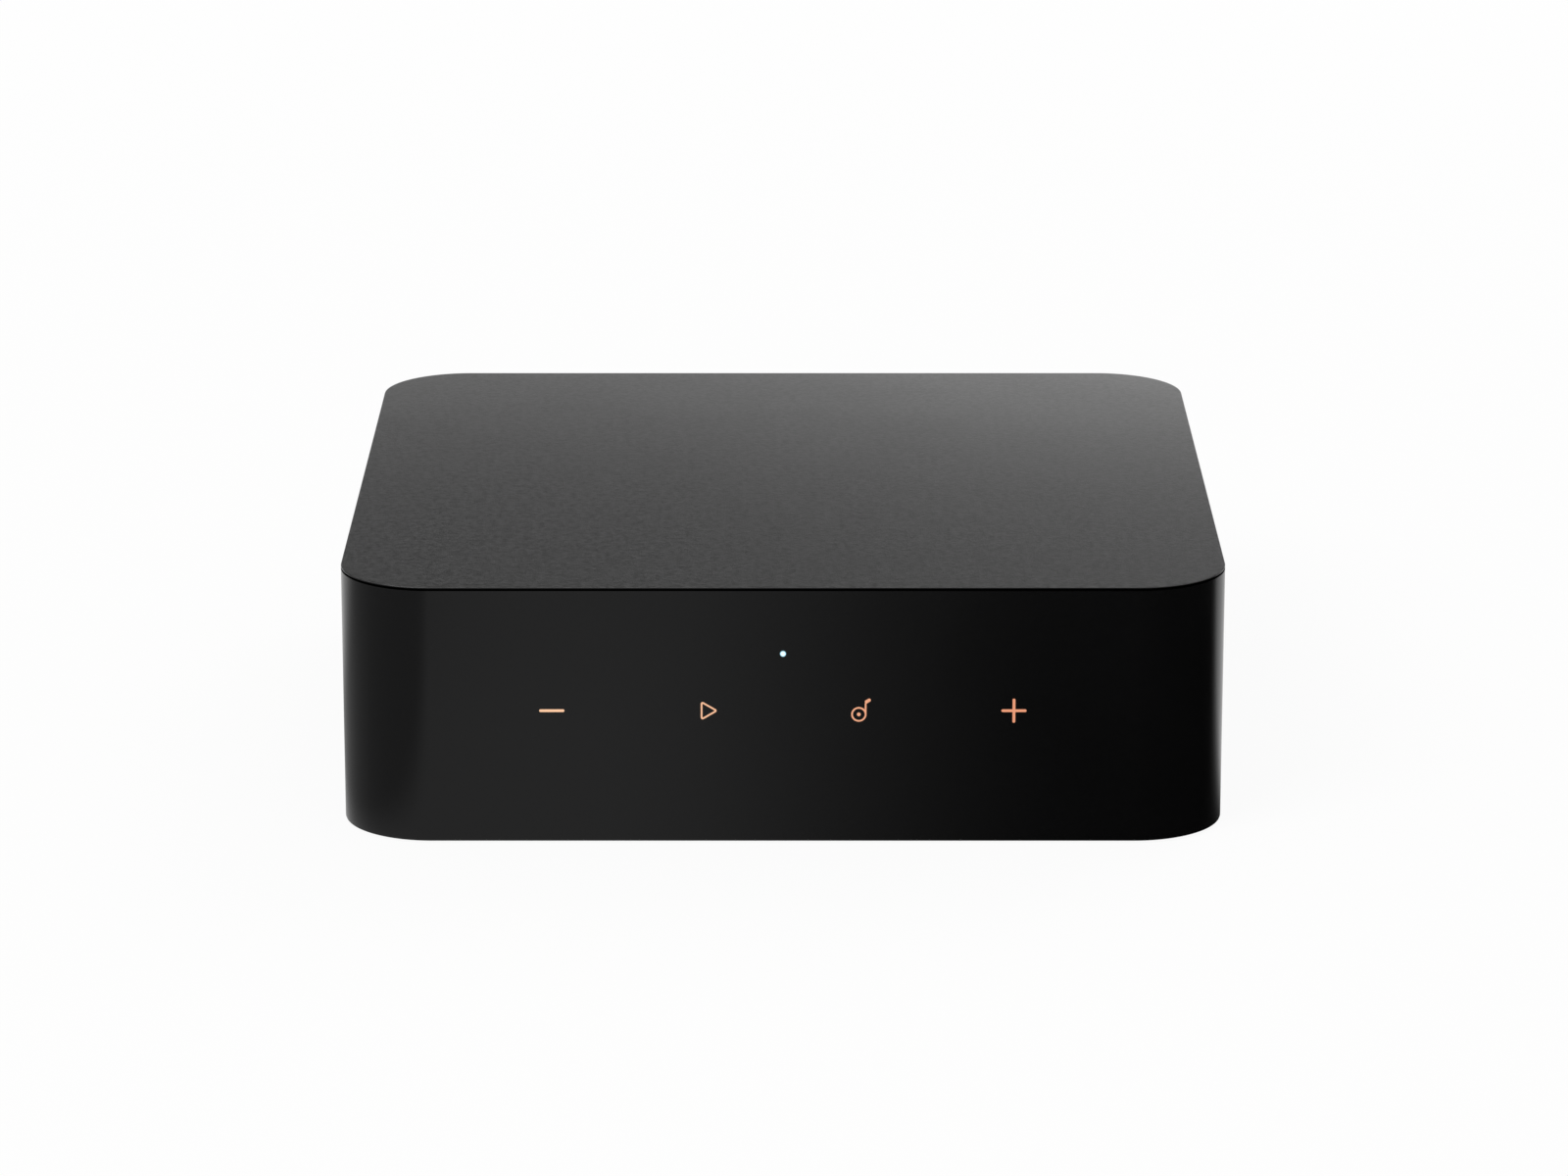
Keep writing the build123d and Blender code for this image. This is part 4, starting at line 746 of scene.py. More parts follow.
@dataclass(frozen=True)
class Metal(Finish):
    """Plated, drawn or brushed metal."""

    colour: Colour
    roughness: float = 0.2
    lines: float = 1.0
    depth: float = 0.004

    def mix(self, paint: Paint) -> None:
        """Feeds the material's shader.

        Args:
            paint: The material that is mixed.
        """
        scratches = paint.effect(Effects.SCRATCHES, Scale=self.lines)
        slow = paint.effect(Effects.MOTTLE, Scale=300.0).outputs[0]
        wear = paint.effect(Effects.WEAR, Amount=0.5).outputs[0]
        base = paint.blend(slow, self.colour, tone(self.colour, 0.86))
        base = paint.blend(wear, base, tone(self.colour, 1.1))
        paint.set(Base_Color=base, Metallic=1.0)
        lined = paint.math("MULTIPLY", scratches.outputs["Mask"], 0.12)
        plain = paint.span(slow, 0.0, 1.0, self.roughness, self.roughness + 0.08)
        paint.set(Roughness=paint.math("ADD", plain, lined))
        paint.bump(scratches.outputs["Height"], self.depth)


@dataclass(frozen=True)
class CircuitBoard(Finish):
    """A board with solder resist over copper tracks and tinned pads."""

    resist: Colour
    scale: float = 260.0

    def mix(self, paint: Paint) -> None:
        """Feeds the material's shader.

        Args:
            paint: The material that is mixed.
        """
        tracks = paint.effect(Effects.TRACKS, Scale=self.scale)
        base = paint.blend(tracks.outputs["Height"], self.resist, tone(self.resist, 1.9, 0.01))
        base = paint.blend(tracks.outputs["Pads"], base, TIN_COLOUR)
        paint.set(Base_Color=base, Metallic=tracks.outputs["Pads"])
        paint.set(Roughness=paint.span(tracks.outputs["Pads"], 0.0, 1.0, 0.3, 0.24))
        paint.bump(tracks.outputs["Height"], 0.035)


@dataclass(frozen=True)
class PrintedInk(Finish):
    """The touch signs' printed ink with a painted glow; the ink turns from peach to orange across the front.
    """

    name: str = "sign_ink_painted_glow"
    left: Colour = (0.70, 0.43, 0.27)
    right: Colour = (0.60, 0.24, 0.135)
    thin: Colour = (0.4, 0.16, 0.09)
    reach: float = 38.0
    # Strength of the ink's painted glow.
    glow: float = 0.55

    def mix(self, paint: Paint) -> None:
        """Feeds the material's shader.

        Args:
            paint: The material that is mixed.
        """
        across = paint.axes(paint.place())[0]
        share = paint.span(across, -self.reach * MM, self.reach * MM)
        ink = paint.blend(share, self.left, self.right)
        grain = paint.effect(Effects.GRAIN, Scale=5000.0)
        shade = paint.blend(paint.math("MULTIPLY", grain.outputs["Speckle"], 0.12), ink, self.thin)
        # The emission is a painted glow on the ink; nothing behind the signs gives light.
        paint.set(Base_Color=shade, Emission_Color=shade, Emission_Strength=self.glow)
        paint.set(Roughness=paint.span(grain.outputs["Speckle"], 0.0, 1.0, 0.4, 0.5), Specular_IOR_Level=0.2)
        paint.bump(grain.outputs["Height"], 0.004)


@dataclass(frozen=True)
class ClearResin(Finish):
    """Clear or tinted resin."""

    colour: Colour
    clarity: float = 0.7
    glow: float = 0.0
    roughness: float = 0.12

    def mix(self, paint: Paint) -> None:
        """Feeds the material's shader.

        Args:
            paint: The material that is mixed.
        """
        slow = paint.effect(Effects.MOTTLE, Scale=1200.0).outputs[0]
        tint = paint.blend(slow, tone(self.colour, 0.8), self.colour)
        paint.set(Base_Color=tint, Transmission_Weight=self.clarity, IOR=1.49)
        paint.set(Roughness=paint.span(slow, 0.0, 1.0, self.roughness, self.roughness + 0.08))
        if self.glow:
            paint.set(Emission_Color=tint, Emission_Strength=self.glow)


@dataclass(frozen=True)
class LitPin(Finish):
    """Clear resin lit from behind, brightest at its axis."""

    name: str = "lit_pin"
    colour: Colour = (0.5, 0.82, 1.0)
    unlit: Colour = (0.1, 0.14, 0.15)
    halo: Colour = (0.02, 0.05, 0.06)
    axis_z: float = 31.2
    radius: float = 0.54
    core: float = 0.45
    glow: float = 1.0

    def mix(self, paint: Paint) -> None:
        """Feeds the material's shader.

        Args:
            paint: The material that is mixed.
        """
        x, _, z = paint.axes(paint.place())
        off = paint.math("SUBTRACT", z, self.axis_z * MM)
        lit = paint.span(paint.length(x, off), self.radius * MM, self.radius * self.core * MM)
        paint.set(Base_Color=paint.blend(lit, self.unlit, self.colour), Specular_IOR_Level=0.4)
        paint.set(Emission_Color=paint.blend(lit, self.halo, self.colour), Emission_Strength=self.glow)
        paint.set(Roughness=paint.span(lit, 0.0, 1.0, 0.14, 0.2))


@dataclass(frozen=True)
class Foam(Finish):
    """Conductive foam or a filled silicone pad, with open cells."""

    colour: Colour

    def mix(self, paint: Paint) -> None:
        """Feeds the material's shader.

        Args:
            paint: The material that is mixed.
        """
        deep = paint.span(paint.cells(2200.0, feature="F1"), 0.1, 0.6)
        paint.set(Base_Color=paint.blend(deep, tone(self.colour, 0.5), self.colour))
        paint.set(Roughness=paint.span(deep, 0.0, 1.0, 0.85, 0.95), Specular_IOR_Level=0.2)
        paint.bump(deep, 0.15)


class Wardrobe:
    """Keeps each finish's material, so that pieces with one finish share it."""

    def __init__(self) -> None:
        """Starts with no materials."""
        self.made: dict[Finish, bpy.types.Material] = {}

    def of(self, finish: Finish) -> bpy.types.Material:
        """Gives a finish's material, and builds it the first time.

        Args:
            finish: The finish.

        Returns:
            The material.
        """
        if finish not in self.made:
            self.made[finish] = finish.material()
        return self.made[finish]


BLACK_PANEL = MouldedPlastic("panel_moulding", (0.011, 0.011, 0.0115), 0.5, 0.3, 2400.0, 0.03)
BLACK_COVER = MouldedPlastic("cover_moulding", (0.014, 0.014, 0.0145), 0.55, 0.3, 1900.0, 0.04)
BLACK_SOCKET = MouldedPlastic("socket_moulding", (0.012, 0.012, 0.0125), 0.38, 0.45, 4200.0, 0.012)
DARK_SHUTTER = MouldedPlastic("shutter_moulding", (0.03, 0.03, 0.032), 0.32, 0.5, 5200.0, 0.008)
BLACK_BLOCK = MouldedPlastic("block_moulding", (0.014, 0.014, 0.015), 0.45)
KEY_PLASTIC = MouldedPlastic("key_moulding", (0.02, 0.02, 0.021), 0.34, 0.45, 5200.0, 0.008)
SWITCH_PLASTIC = MouldedPlastic("switch_moulding", (0.04, 0.04, 0.04), 0.5)
CHIP_EPOXY = MouldedPlastic("chip_epoxy", (0.025, 0.025, 0.027), 0.55, 0.35, 6000.0, 0.01)
FERRITE = MouldedPlastic("pressed_ferrite", (0.05, 0.05, 0.052), 0.6, 0.3, 3500.0, 0.04)
NATURAL_NYLON = MouldedPlastic("natural_nylon", (0.72, 0.68, 0.58), 0.42, 0.4, 5000.0, 0.01, 0.1, 0.0)
WHITE_CORE = MouldedPlastic("white_core", (0.78, 0.78, 0.75), 0.25, 0.5, 7000.0, 0.004, 0.0, 0.0)
RED_CORE = MouldedPlastic("red_core", (0.5, 0.014, 0.016), 0.25, 0.5, 7000.0, 0.004, 0.0, 0.0)
ORANGE_CORE = MouldedPlastic("orange_core", (0.78, 0.2, 0.02), 0.25, 0.5, 7000.0, 0.004, 0.0, 0.0)
LEAD_JACKET = MouldedPlastic("lead_jacket", (0.05, 0.05, 0.054), 0.35, 0.5, 8000.0, 0.004)
RIBBON_FILM = MouldedPlastic("ribbon_film", (0.76, 0.76, 0.73), 0.22, 0.5, 3000.0, 0.004, 0.1, 0.0)
NICKEL = Metal("nickel_plate", (0.66, 0.64, 0.6), 0.16, 1.0, 0.002)
GOLD = Metal("gold_flash", (0.9, 0.62, 0.25), 0.16, 1.0, 0.002)
TINNED_STEEL = Metal("tinned_steel", (0.62, 0.61, 0.58), 0.26, 0.6)
SPRING_STEEL = Metal("spring_steel", (0.55, 0.54, 0.5), 0.22, 0.8)
BLACK_ZINC = Metal("black_zinc", (0.06, 0.06, 0.063), 0.34, 1.2)
SATIN_ALUMINIUM = Metal("satin_aluminium", (0.62, 0.63, 0.64), 0.34, 0.5, 0.008)


class Assembly:
    """What the sub-assemblies share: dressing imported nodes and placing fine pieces."""

    wardrobe = Wardrobe()

    def dress(self, finish: Finish, *nodes: str) -> None:
        """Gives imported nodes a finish.

        Args:
            finish: The finish.
            nodes: The nodes' names.
        """
        for node in nodes:
            for slot in frame["nodes"][node].material_slots:
                slot.material = self.wardrobe.of(finish)
            log.info("%s wears %s", node, finish.name)

    def place(
        self,
        piece: bpy.types.Object,
        finish: Finish,
        slot: str | None,
        *nodes: str,
        body: Body | None = Body.HOUSING,
    ) -> bpy.types.Object:
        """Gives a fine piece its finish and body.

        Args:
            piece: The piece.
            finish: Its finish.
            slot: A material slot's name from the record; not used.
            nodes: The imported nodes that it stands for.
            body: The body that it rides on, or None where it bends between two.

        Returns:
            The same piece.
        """
        piece.data.materials.clear()
        piece.data.materials.append(self.wardrobe.of(finish))
        if body:
            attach(piece, body.value)
        if nodes:
            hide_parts(*nodes)
        log.info("%s made in %s", piece.name, finish.name)
        return piece


# The case


@dataclass
class CaseShell(Assembly):
    """The roof and four walls, with the rear window and what stands inside."""

    width: float = 140.0
    base: float = 0.35
    top: float = 42.0
    corner: float = 14.5
    edge: float = 0.14
    lip: float = 41.77
    seam: tuple[float, float, float] = (0.32, 0.2, 0.6)
    wall: float = 2.2
    roof: float = 2.4
    lap: float = 1.0
    lap_top: float = 2.6
    window_width: float = 108.0
    window_low: float = 6.2
    window_high: float = 37.0
    window_corner: float = 3.0
    light_z: float = 31.2
    light_hole: float = 0.55
    tool_ends: tuple[float, float] = (66.0, 72.0)
    sunk: float = 0.5
    boss: tuple[float, float, float] = (56.5, 3.6, 1.4)
    boss_low: float = 5.0
    gusset: float = 0.6
    gusset_root: float = 0.3
    rib_rows: int = 5
    rib_reach: float = 55.8
    rib_drop: float = 2.1
    tower: tuple[Point, Point] = ((-13.73, 57.5, 27.5), (-6.73, 66.5))
    rails: tuple[Point, ...] = ((46.1, 47.3, -68.5, -63.9), (44.5, 47.3, -65.1, -63.9))
    rail_ends: tuple[float, float] = (13.0, 35.0)
    hooks: tuple[Point, ...] = ((55.5, 56.8, 65.2, 68.4), (53.8, 56.8, 65.2, 66.5))
    hook_rows: tuple[float, float] = (12.6, 30.6)
    hook_half: float = 4.0

    def skin(self) -> bpy.types.Object:
        """Builds the outer and inner walls as one closed skin.

        Returns:
            The skin.
        """
        wide, narrow, deep = self.seam
        base, lip, wall, lap = self.base, self.lip, self.wall, self.wall - self.lap
        profile = [(wall, self.top - self.roof), (wall, self.lap_top), (lap, self.lap_top), (lap, base)]
        profile += [(0.25, base), (0.07, base + 0.07), (0, base + 0.25), (0, base + 1)]
        profile += [(0, lip - wide - 0.3), (0, lip - wide - 0.04), (0.04, lip - wide)]
        profile += [(deep, lip - narrow - 0.06), (deep, lip - 0.06), (0, lip)]
        profile += [(self.edge - u, self.top - self.edge + v) for u, v in arc(self.edge, 0, 90, 5)]
        profile.append((self.edge + 0.25, self.top))
        rings = [square_ring(self.width, self.corner, inset, z, 28) for inset, z in profile]
        return Form().loft(rings).make("case_shell")

    def fittings(self) -> bpy.types.Object:
        """Builds the bosses, gussets, ribs, rails, hooks and the screw tower inside.

        Returns:
            The fittings.
        """
        form = Form()
        under = self.top - self.roof + self.sunk
        inner = self.width / 2 - self.wall + self.sunk
        place, radius, bore = self.boss
        low, half, root = self.boss_low, self.gusset, radius - self.gusset_root
        for x in (-place, place):
            for y in (-place, place):
                form.post([(radius, low), (radius, under), (bore, under), (bore, low)], x, y)
                left, right = sorted((x + math.copysign(root, x), math.copysign(inner, x)))
                front, rear = sorted((y + math.copysign(root, y), math.copysign(inner, y)))
                form.block((left, y - half, low), (right, y + half, under))
                form.block((x - half, front, low), (x + half, rear, under))
        for row in range(self.rib_rows):
            y = (inner - self.sunk) * (2 * (row + 1) / (self.rib_rows + 1) - 1)
            form.block((-self.rib_reach, y - half, under - self.rib_drop), (self.rib_reach, y + half, under))
        start, end = self.tower
        form.block(start, (*end, under))
        for rail in self.rails:
            form.pair(rail, *self.rail_ends)
        for z in self.hook_rows:
            for hook in self.hooks:
                form.pair(hook, z - self.hook_half, z + self.hook_half)
        return form.make("shell_fittings", 0.15)

    def build(self) -> None:
        """Builds the shell and what stands inside it."""
        shell = self.skin()
        near, far = self.tool_ends
        window = rounded(self.window_width, self.window_high - self.window_low, self.window_corner)
        middle = (self.window_high + self.window_low) / 2
        cut(shell, Form().prism(window, 0, middle, near, far).make("window_tool"))
        cut(shell, Form().prism(circle(self.light_hole), 0, self.light_z, -far, -near).make("light_tool"))
        crease(shell.data)
        weighted = shell.modifiers.new("flat_faces", "WEIGHTED_NORMAL")
        weighted.keep_sharp = True
        weighted.weight = 100
        self.place(shell, SatinWall(), "shell", "top_shell")
        # The third material is near-black with no gloss: painted shade in the seam groove under the roof's
        # edge, darker than the shell's own plastic.
        for finish in (TexturedRoof(), Rubber("seam_painted_shade", (0.0006, 0.0006, 0.0006), 0.0)):
            shell.data.materials.append(self.wardrobe.of(finish))
        # Faces in the seam groove's band take the painted shade.
        painted_shade_low, painted_shade_high = (self.lip - self.seam[0] - 0.03) * MM, self.lip * MM
        for face in shell.data.polygons:
            if face.normal.z > 0.5 and face.center.z > (self.top - 0.1) * MM:
                face.material_index = 1
            elif painted_shade_low < face.center.z < painted_shade_high:
                face.material_index = 2
        self.place(self.fittings(), BLACK_COVER, "shell")


@dataclass
class Underside(Assembly):
    """The bottom cover, its screws and the soft foot."""

    outer: float = 127.7
    corner: float = 14.35
    width: float = 8.7
    height: float = 1.4
    edge: Profile = ((0.0, 0.25), (0.1, 0.07), (0.3, 0.0))
    grooves: tuple[float, float] = (2.5, 5.4)
    groove: Profile = ((0.0, 0.0), (0.2, 0.2), (0.6, 0.2), (0.8, 0.0))

    def foot(self) -> bpy.types.Object:
        """Builds the foot ring with a rounded sole and two fine grooves.

        Returns:
            The foot.
        """
        profile = [(0.0, self.height), *self.edge]
        for start in self.grooves:
            profile += [(start + inset, z) for inset, z in self.groove]
        profile += [(self.width - inset, z) for inset, z in reversed(self.edge)]
        profile.append((self.width, self.height))
        rings = [square_ring(self.outer, self.corner, inset, z, 12) for inset, z in profile]
        return Form().loft(rings, closed=True).make("foot_sole")

    def build(self) -> None:
        """Dresses the cover and builds the foot."""
        self.dress(BLACK_COVER, "bottom_cover")
        self.dress(BLACK_ZINC, "cover_screws")
        self.place(self.foot(), Rubber("foot_rubber"), "foot", "foot_ring")


@dataclass
class TouchSigns(Assembly):
    """The four printed signs on the front wall: minus, play, note and plus."""

    wall: float = -70.0
    z: float = 21.9
    places: tuple[float, float, float, float] = (-36.3, -11.7, 11.9, 36.25)
    stroke: float = 0.45
    fine: float = 0.27
    reach: float = 3.96
    depth: float = 0.02
    triangle: tuple[float, float, float] = (-1.22, 1.55, 1.64)
    corners: tuple[float, float] = (0.3, 0.06)
    ring: float = 1.2
    ring_drop: float = 0.6
    dot: float = 0.3
    stem_ends: tuple[float, float] = (1.75, 1.6)
    head: float = 0.26
    head_turns: tuple[tuple, ...] = (((1.62, 2.32), -60, 120), ((1.2, 2.08), 120, 210))
    lift: float = 0.002

    def sign(self, name: str, outlines: Sequence[Outline], x: float, z: float, lift: float = 0.0) -> None:
        """Places one sign or part of one at (x, z), with a lift where two parts overlap."""
        piece = flat_sign(name, outlines, (x, self.wall - lift, z), self.depth)
        self.place(piece, PrintedInk(), None)

    def bar(self) -> Outline:
        """Gives the outline of a round-ended bar."""
        return rounded(self.reach, self.stroke, self.stroke / 2 - 0.001, 10)

    def plus(self) -> Outline:
        """Gives the outline of a plus with round ends.

        Returns:
            The outline.
        """
        half = self.stroke / 2
        arm = [*arc(half, -90, 90, 12, (self.reach / 2 - half, 0.0)), (half, half)]
        return [point for quarter in range(4) for point in spun(arm, 90 * quarter)]

    def play(self) -> list[Outline]:
        """Gives the play triangle.

        Returns:
            Its outline and its hole.
        """
        left, right, half = self.triangle
        slope = math.atan2(half, right - left)
        inner_left, inner_right = left + self.fine, right - self.fine / math.sin(slope)
        inner_half = (inner_right - inner_left) * math.tan(slope)
        outer = [(left, -half), (right, 0), (left, half)]
        inner = [(inner_left, -inner_half), (inner_right, 0), (inner_left, inner_half)]
        blunt, keen = self.corners
        return [softened(outer, blunt), softened(inner, keen, 3)]

    def note(self, x: float) -> None:
        """Places the note: a ring with a dot in it and a stem that leans at its top.

        Args:
            x: Where it is across the front.
        """
        low, outer, inner = self.z - self.ring_drop, self.ring, self.ring - self.fine
        right_end, left_end = self.stem_ends
        stem = [(inner, 0.0), (outer, 0.0), (outer, right_end)]
        for centre, start, end in self.head_turns:
            stem += arc(self.head, start, end, (end - start) // 15, centre)
        stem.append((inner, left_end))
        self.sign("note_ring", [circle(outer, 56), circle(inner, 56)], x, low)
        self.sign("note_dot", [circle(self.dot, 28)], x, low, self.lift)
        self.sign("note_stem", [stem], x, low, 2 * self.lift)

    def build(self) -> None:
        """Builds the four signs."""
        minus, play, note, plus = self.places
        self.sign("minus_sign", [self.bar()], minus, self.z)
        self.sign("play_sign", self.play(), play, self.z)
        self.note(note)
        self.sign("plus_sign", [self.plus()], plus, self.z)


@dataclass
class StatusLight(Assembly):
    """The clear pin through the front wall, with the lit diode behind it."""

    z: float = 31.2
    radius: float = 0.5
    front: float = -70.0
    inner: float = -67.8
    flange: float = 1.5
    flange_thick: float = 0.6
    rise: float = 0.06
    dome: Profile = ((0.15, 1.0), (0.5, 0.85), (0.8, 0.5), (0.95, 0.2))

    def build(self) -> None:
        """Builds the pin with its domed end and its flange."""
        radius, front, inner, wide = self.radius, self.front, self.inner, self.flange
        back = inner + self.flange_thick
        profile = [(radius * share, front - self.rise * height) for share, height in self.dome]
        profile += [(radius, front + 0.05), (radius, inner), (wide, inner), (wide, back), (0.3, back)]
        pin = Form().turned(profile, 0, self.z, closed=False, count=32).make("light_pin")
        self.place(pin, LitPin(), "light_pipe", "light_pipe")
        self.dress(ClearResin("diode_epoxy", (0.9, 0.95, 0.9), 0.3, 1.2), "status_led")


@dataclass
class TouchElectronics(Assembly):
    """The touch board behind the front wall, its pads and its ribbon."""

    def build(self) -> None:
        """Dresses the touch board's nodes."""
        self.dress(CircuitBoard("touch_resist", (0.012, 0.06, 0.035), 420.0), "touch_board")
        self.dress(Foam("touch_foam", (0.08, 0.08, 0.085)), "touch_pads")
        self.dress(RIBBON_FILM, "touch_ribbon")
        self.dress(NATURAL_NYLON, "ribbon_sockets")


# The rear


@dataclass
class RearPanel(Assembly):
    """The socket panel and its two screws."""

    face: float = 69.5
    places: tuple[tuple[float, float], ...] = ((40.32, 21.2), (-10.23, 31.0))
    shank: Profile = ((1.2, -7.9), (1.3, -7.5), (1.3, 0.0))
    head: Profile = ((2.5, 0.0), (2.5, 0.55), (2.4, 0.95), (2.1, 1.28), (1.55, 1.5), (0.75, 1.6))
    cross: tuple[float, float, float] = (2.8, 0.6, 0.9)

    def screw(self, number: int, x: float, z: float) -> bpy.types.Object:
        """Builds one pan head with a cross recess.

        Args:
            number: Which screw it is.
            x: Where its axis is across the case.
            z: How high its axis is.

        Returns:
            The screw.
        """
        profile = [(radius, self.face + y) for radius, y in (*self.shank, *self.head)]
        piece = Form().turned(profile, x, z, closed=False).make(f"panel_screw_{number}")
        length, width, depth = self.cross
        crown = profile[-1][1]
        for across, up in ((length, width), (width, length)):
            tip = at_y(rectangle(across / 2, up / 2), x, z, crown - depth)
            mouth = at_y(rectangle(across, up), x, z, crown + 0.05)
            cut(piece, Form().loft([tip, mouth]).make("cross_tool"))
        crease(piece.data)
        return piece

    def build(self) -> None:
        """Dresses the panel and builds its screws."""
        self.dress(BLACK_PANEL, "rear_panel")
        for number, (x, z) in enumerate(self.places):
            self.place(self.screw(number, x, z), BLACK_ZINC, "screw", "panel_screws")


@dataclass
class PhonoSockets(Assembly):
    """The phono sockets: collars, coloured cores and split centre contacts."""

    back: float = 66.6
    face: float = 69.5
    tip: float = 78.5
    collar: float = 4.15
    wall: float = 0.5
    seat: float = 5.05
    core_face: float = 77.7
    contact: tuple[float, float] = (1.6, 2.1)
    contact_ends: tuple[float, float] = (70.3, 77.3)
    slit: float = 6.0
    columns: tuple[float, float, float] = (46.57, 34.07, 21.57)
    rows: tuple[float, float] = (13.2, 29.2)

    def sleeve(self) -> Outline:
        """Gives the profile of a plated collar with a root flange and a rolled tip.

        Returns:
            Radius and y of each ring.
        """
        outer, inner, seat = self.collar, self.collar - self.wall, self.seat
        tip, root = self.tip, self.face
        profile = [(outer, self.back), (outer, root + 0.02), (seat - 0.06, root + 0.02), (seat, root + 0.1)]
        profile += [(seat, root + 0.4), (seat - 0.08, root + 0.5), (outer + 0.08, root + 0.5)]
        profile += [(outer, root + 0.58), (outer, tip - 0.2), (outer - 0.06, tip - 0.06), (outer - 0.18, tip)]
        profile += [(inner + 0.12, tip), (inner + 0.02, tip - 0.05), (inner, tip - 0.15), (inner, self.back)]
        return profile

    def core(self) -> Outline:
        """Gives the profile of an insulator with a recessed ring round its contact.

        Returns:
            Radius and y of each ring.
        """
        outer, bore, face = self.collar - self.wall - 0.05, self.contact[1] + 0.05, self.core_face
        profile = [(outer, self.back), (outer, face - 0.15), (outer - 0.15, face), (outer - 0.45, face)]
        profile += [(outer - 0.5, face - 0.25), (bore + 0.5, face - 0.25), (bore + 0.45, face)]
        profile += [(bore + 0.12, face), (bore, face - 0.12), (bore, self.back)]
        return profile

    def spring_tube(self, form: Form, x: float, z: float) -> None:
        """Adds one centre contact, split into four leaves with rounded lips.

        Args:
            form: The form that takes it.
            x: Where its axis is across the case.
            z: How high its axis is.
        """
        inner, outer = self.contact
        back, front = self.contact_ends
        shape = [(outer, back), (outer, front - 0.2), (outer - 0.15, front)]
        shape += [(inner + 0.12, front), (inner, front - 0.15), (inner, back)]
        for leaf in range(4):
            turns = arc(1.0, 90 * leaf + 45 + self.slit, 90 * leaf + 135 - self.slit, 12)
            form.loft([[(x + r * u, y, z + r * v) for r, y in shape] for u, v in turns])

    def build(self) -> None:
        """Builds every socket and dresses the blocks behind them."""
        line_in, line_out, coax = self.columns
        low, high = self.rows
        inputs, outputs = ((line_in, low), (line_in, high)), ((line_out, low), (line_out, high))
        digital = ((coax, low),)
        left, right = (inputs[1], outputs[1]), (inputs[0], outputs[0])
        groups = (
            ("line_in_sleeves", NICKEL, "collar", inputs, "line_in_collars"),
            ("line_out_sleeves", NICKEL, "collar", outputs, "line_out_collars"),
            ("coax_sleeve", NICKEL, "collar", digital, "coax_collar"),
            ("white_insulators", WHITE_CORE, "core_white", left, "left_channel_cores"),
            ("red_insulators", RED_CORE, "core_red", right, "right_channel_cores"),
            ("orange_insulator", ORANGE_CORE, "core_orange", digital, "coax_core"),
        )
        for name, finish, slot, places, node in groups:
            profile = self.sleeve() if slot == "collar" else self.core()
            form = Form()
            for x, z in places:
                form.turned(profile, x, z, count=64)
            self.place(form.make(name), finish, slot, node)
        form = Form()
        for x, z in inputs + outputs + digital:
            self.spring_tube(form, x, z)
        self.place(form.make("split_contacts"), GOLD, "contact", "phono_contacts")
        self.dress(BLACK_BLOCK, "line_block", "coax_block")


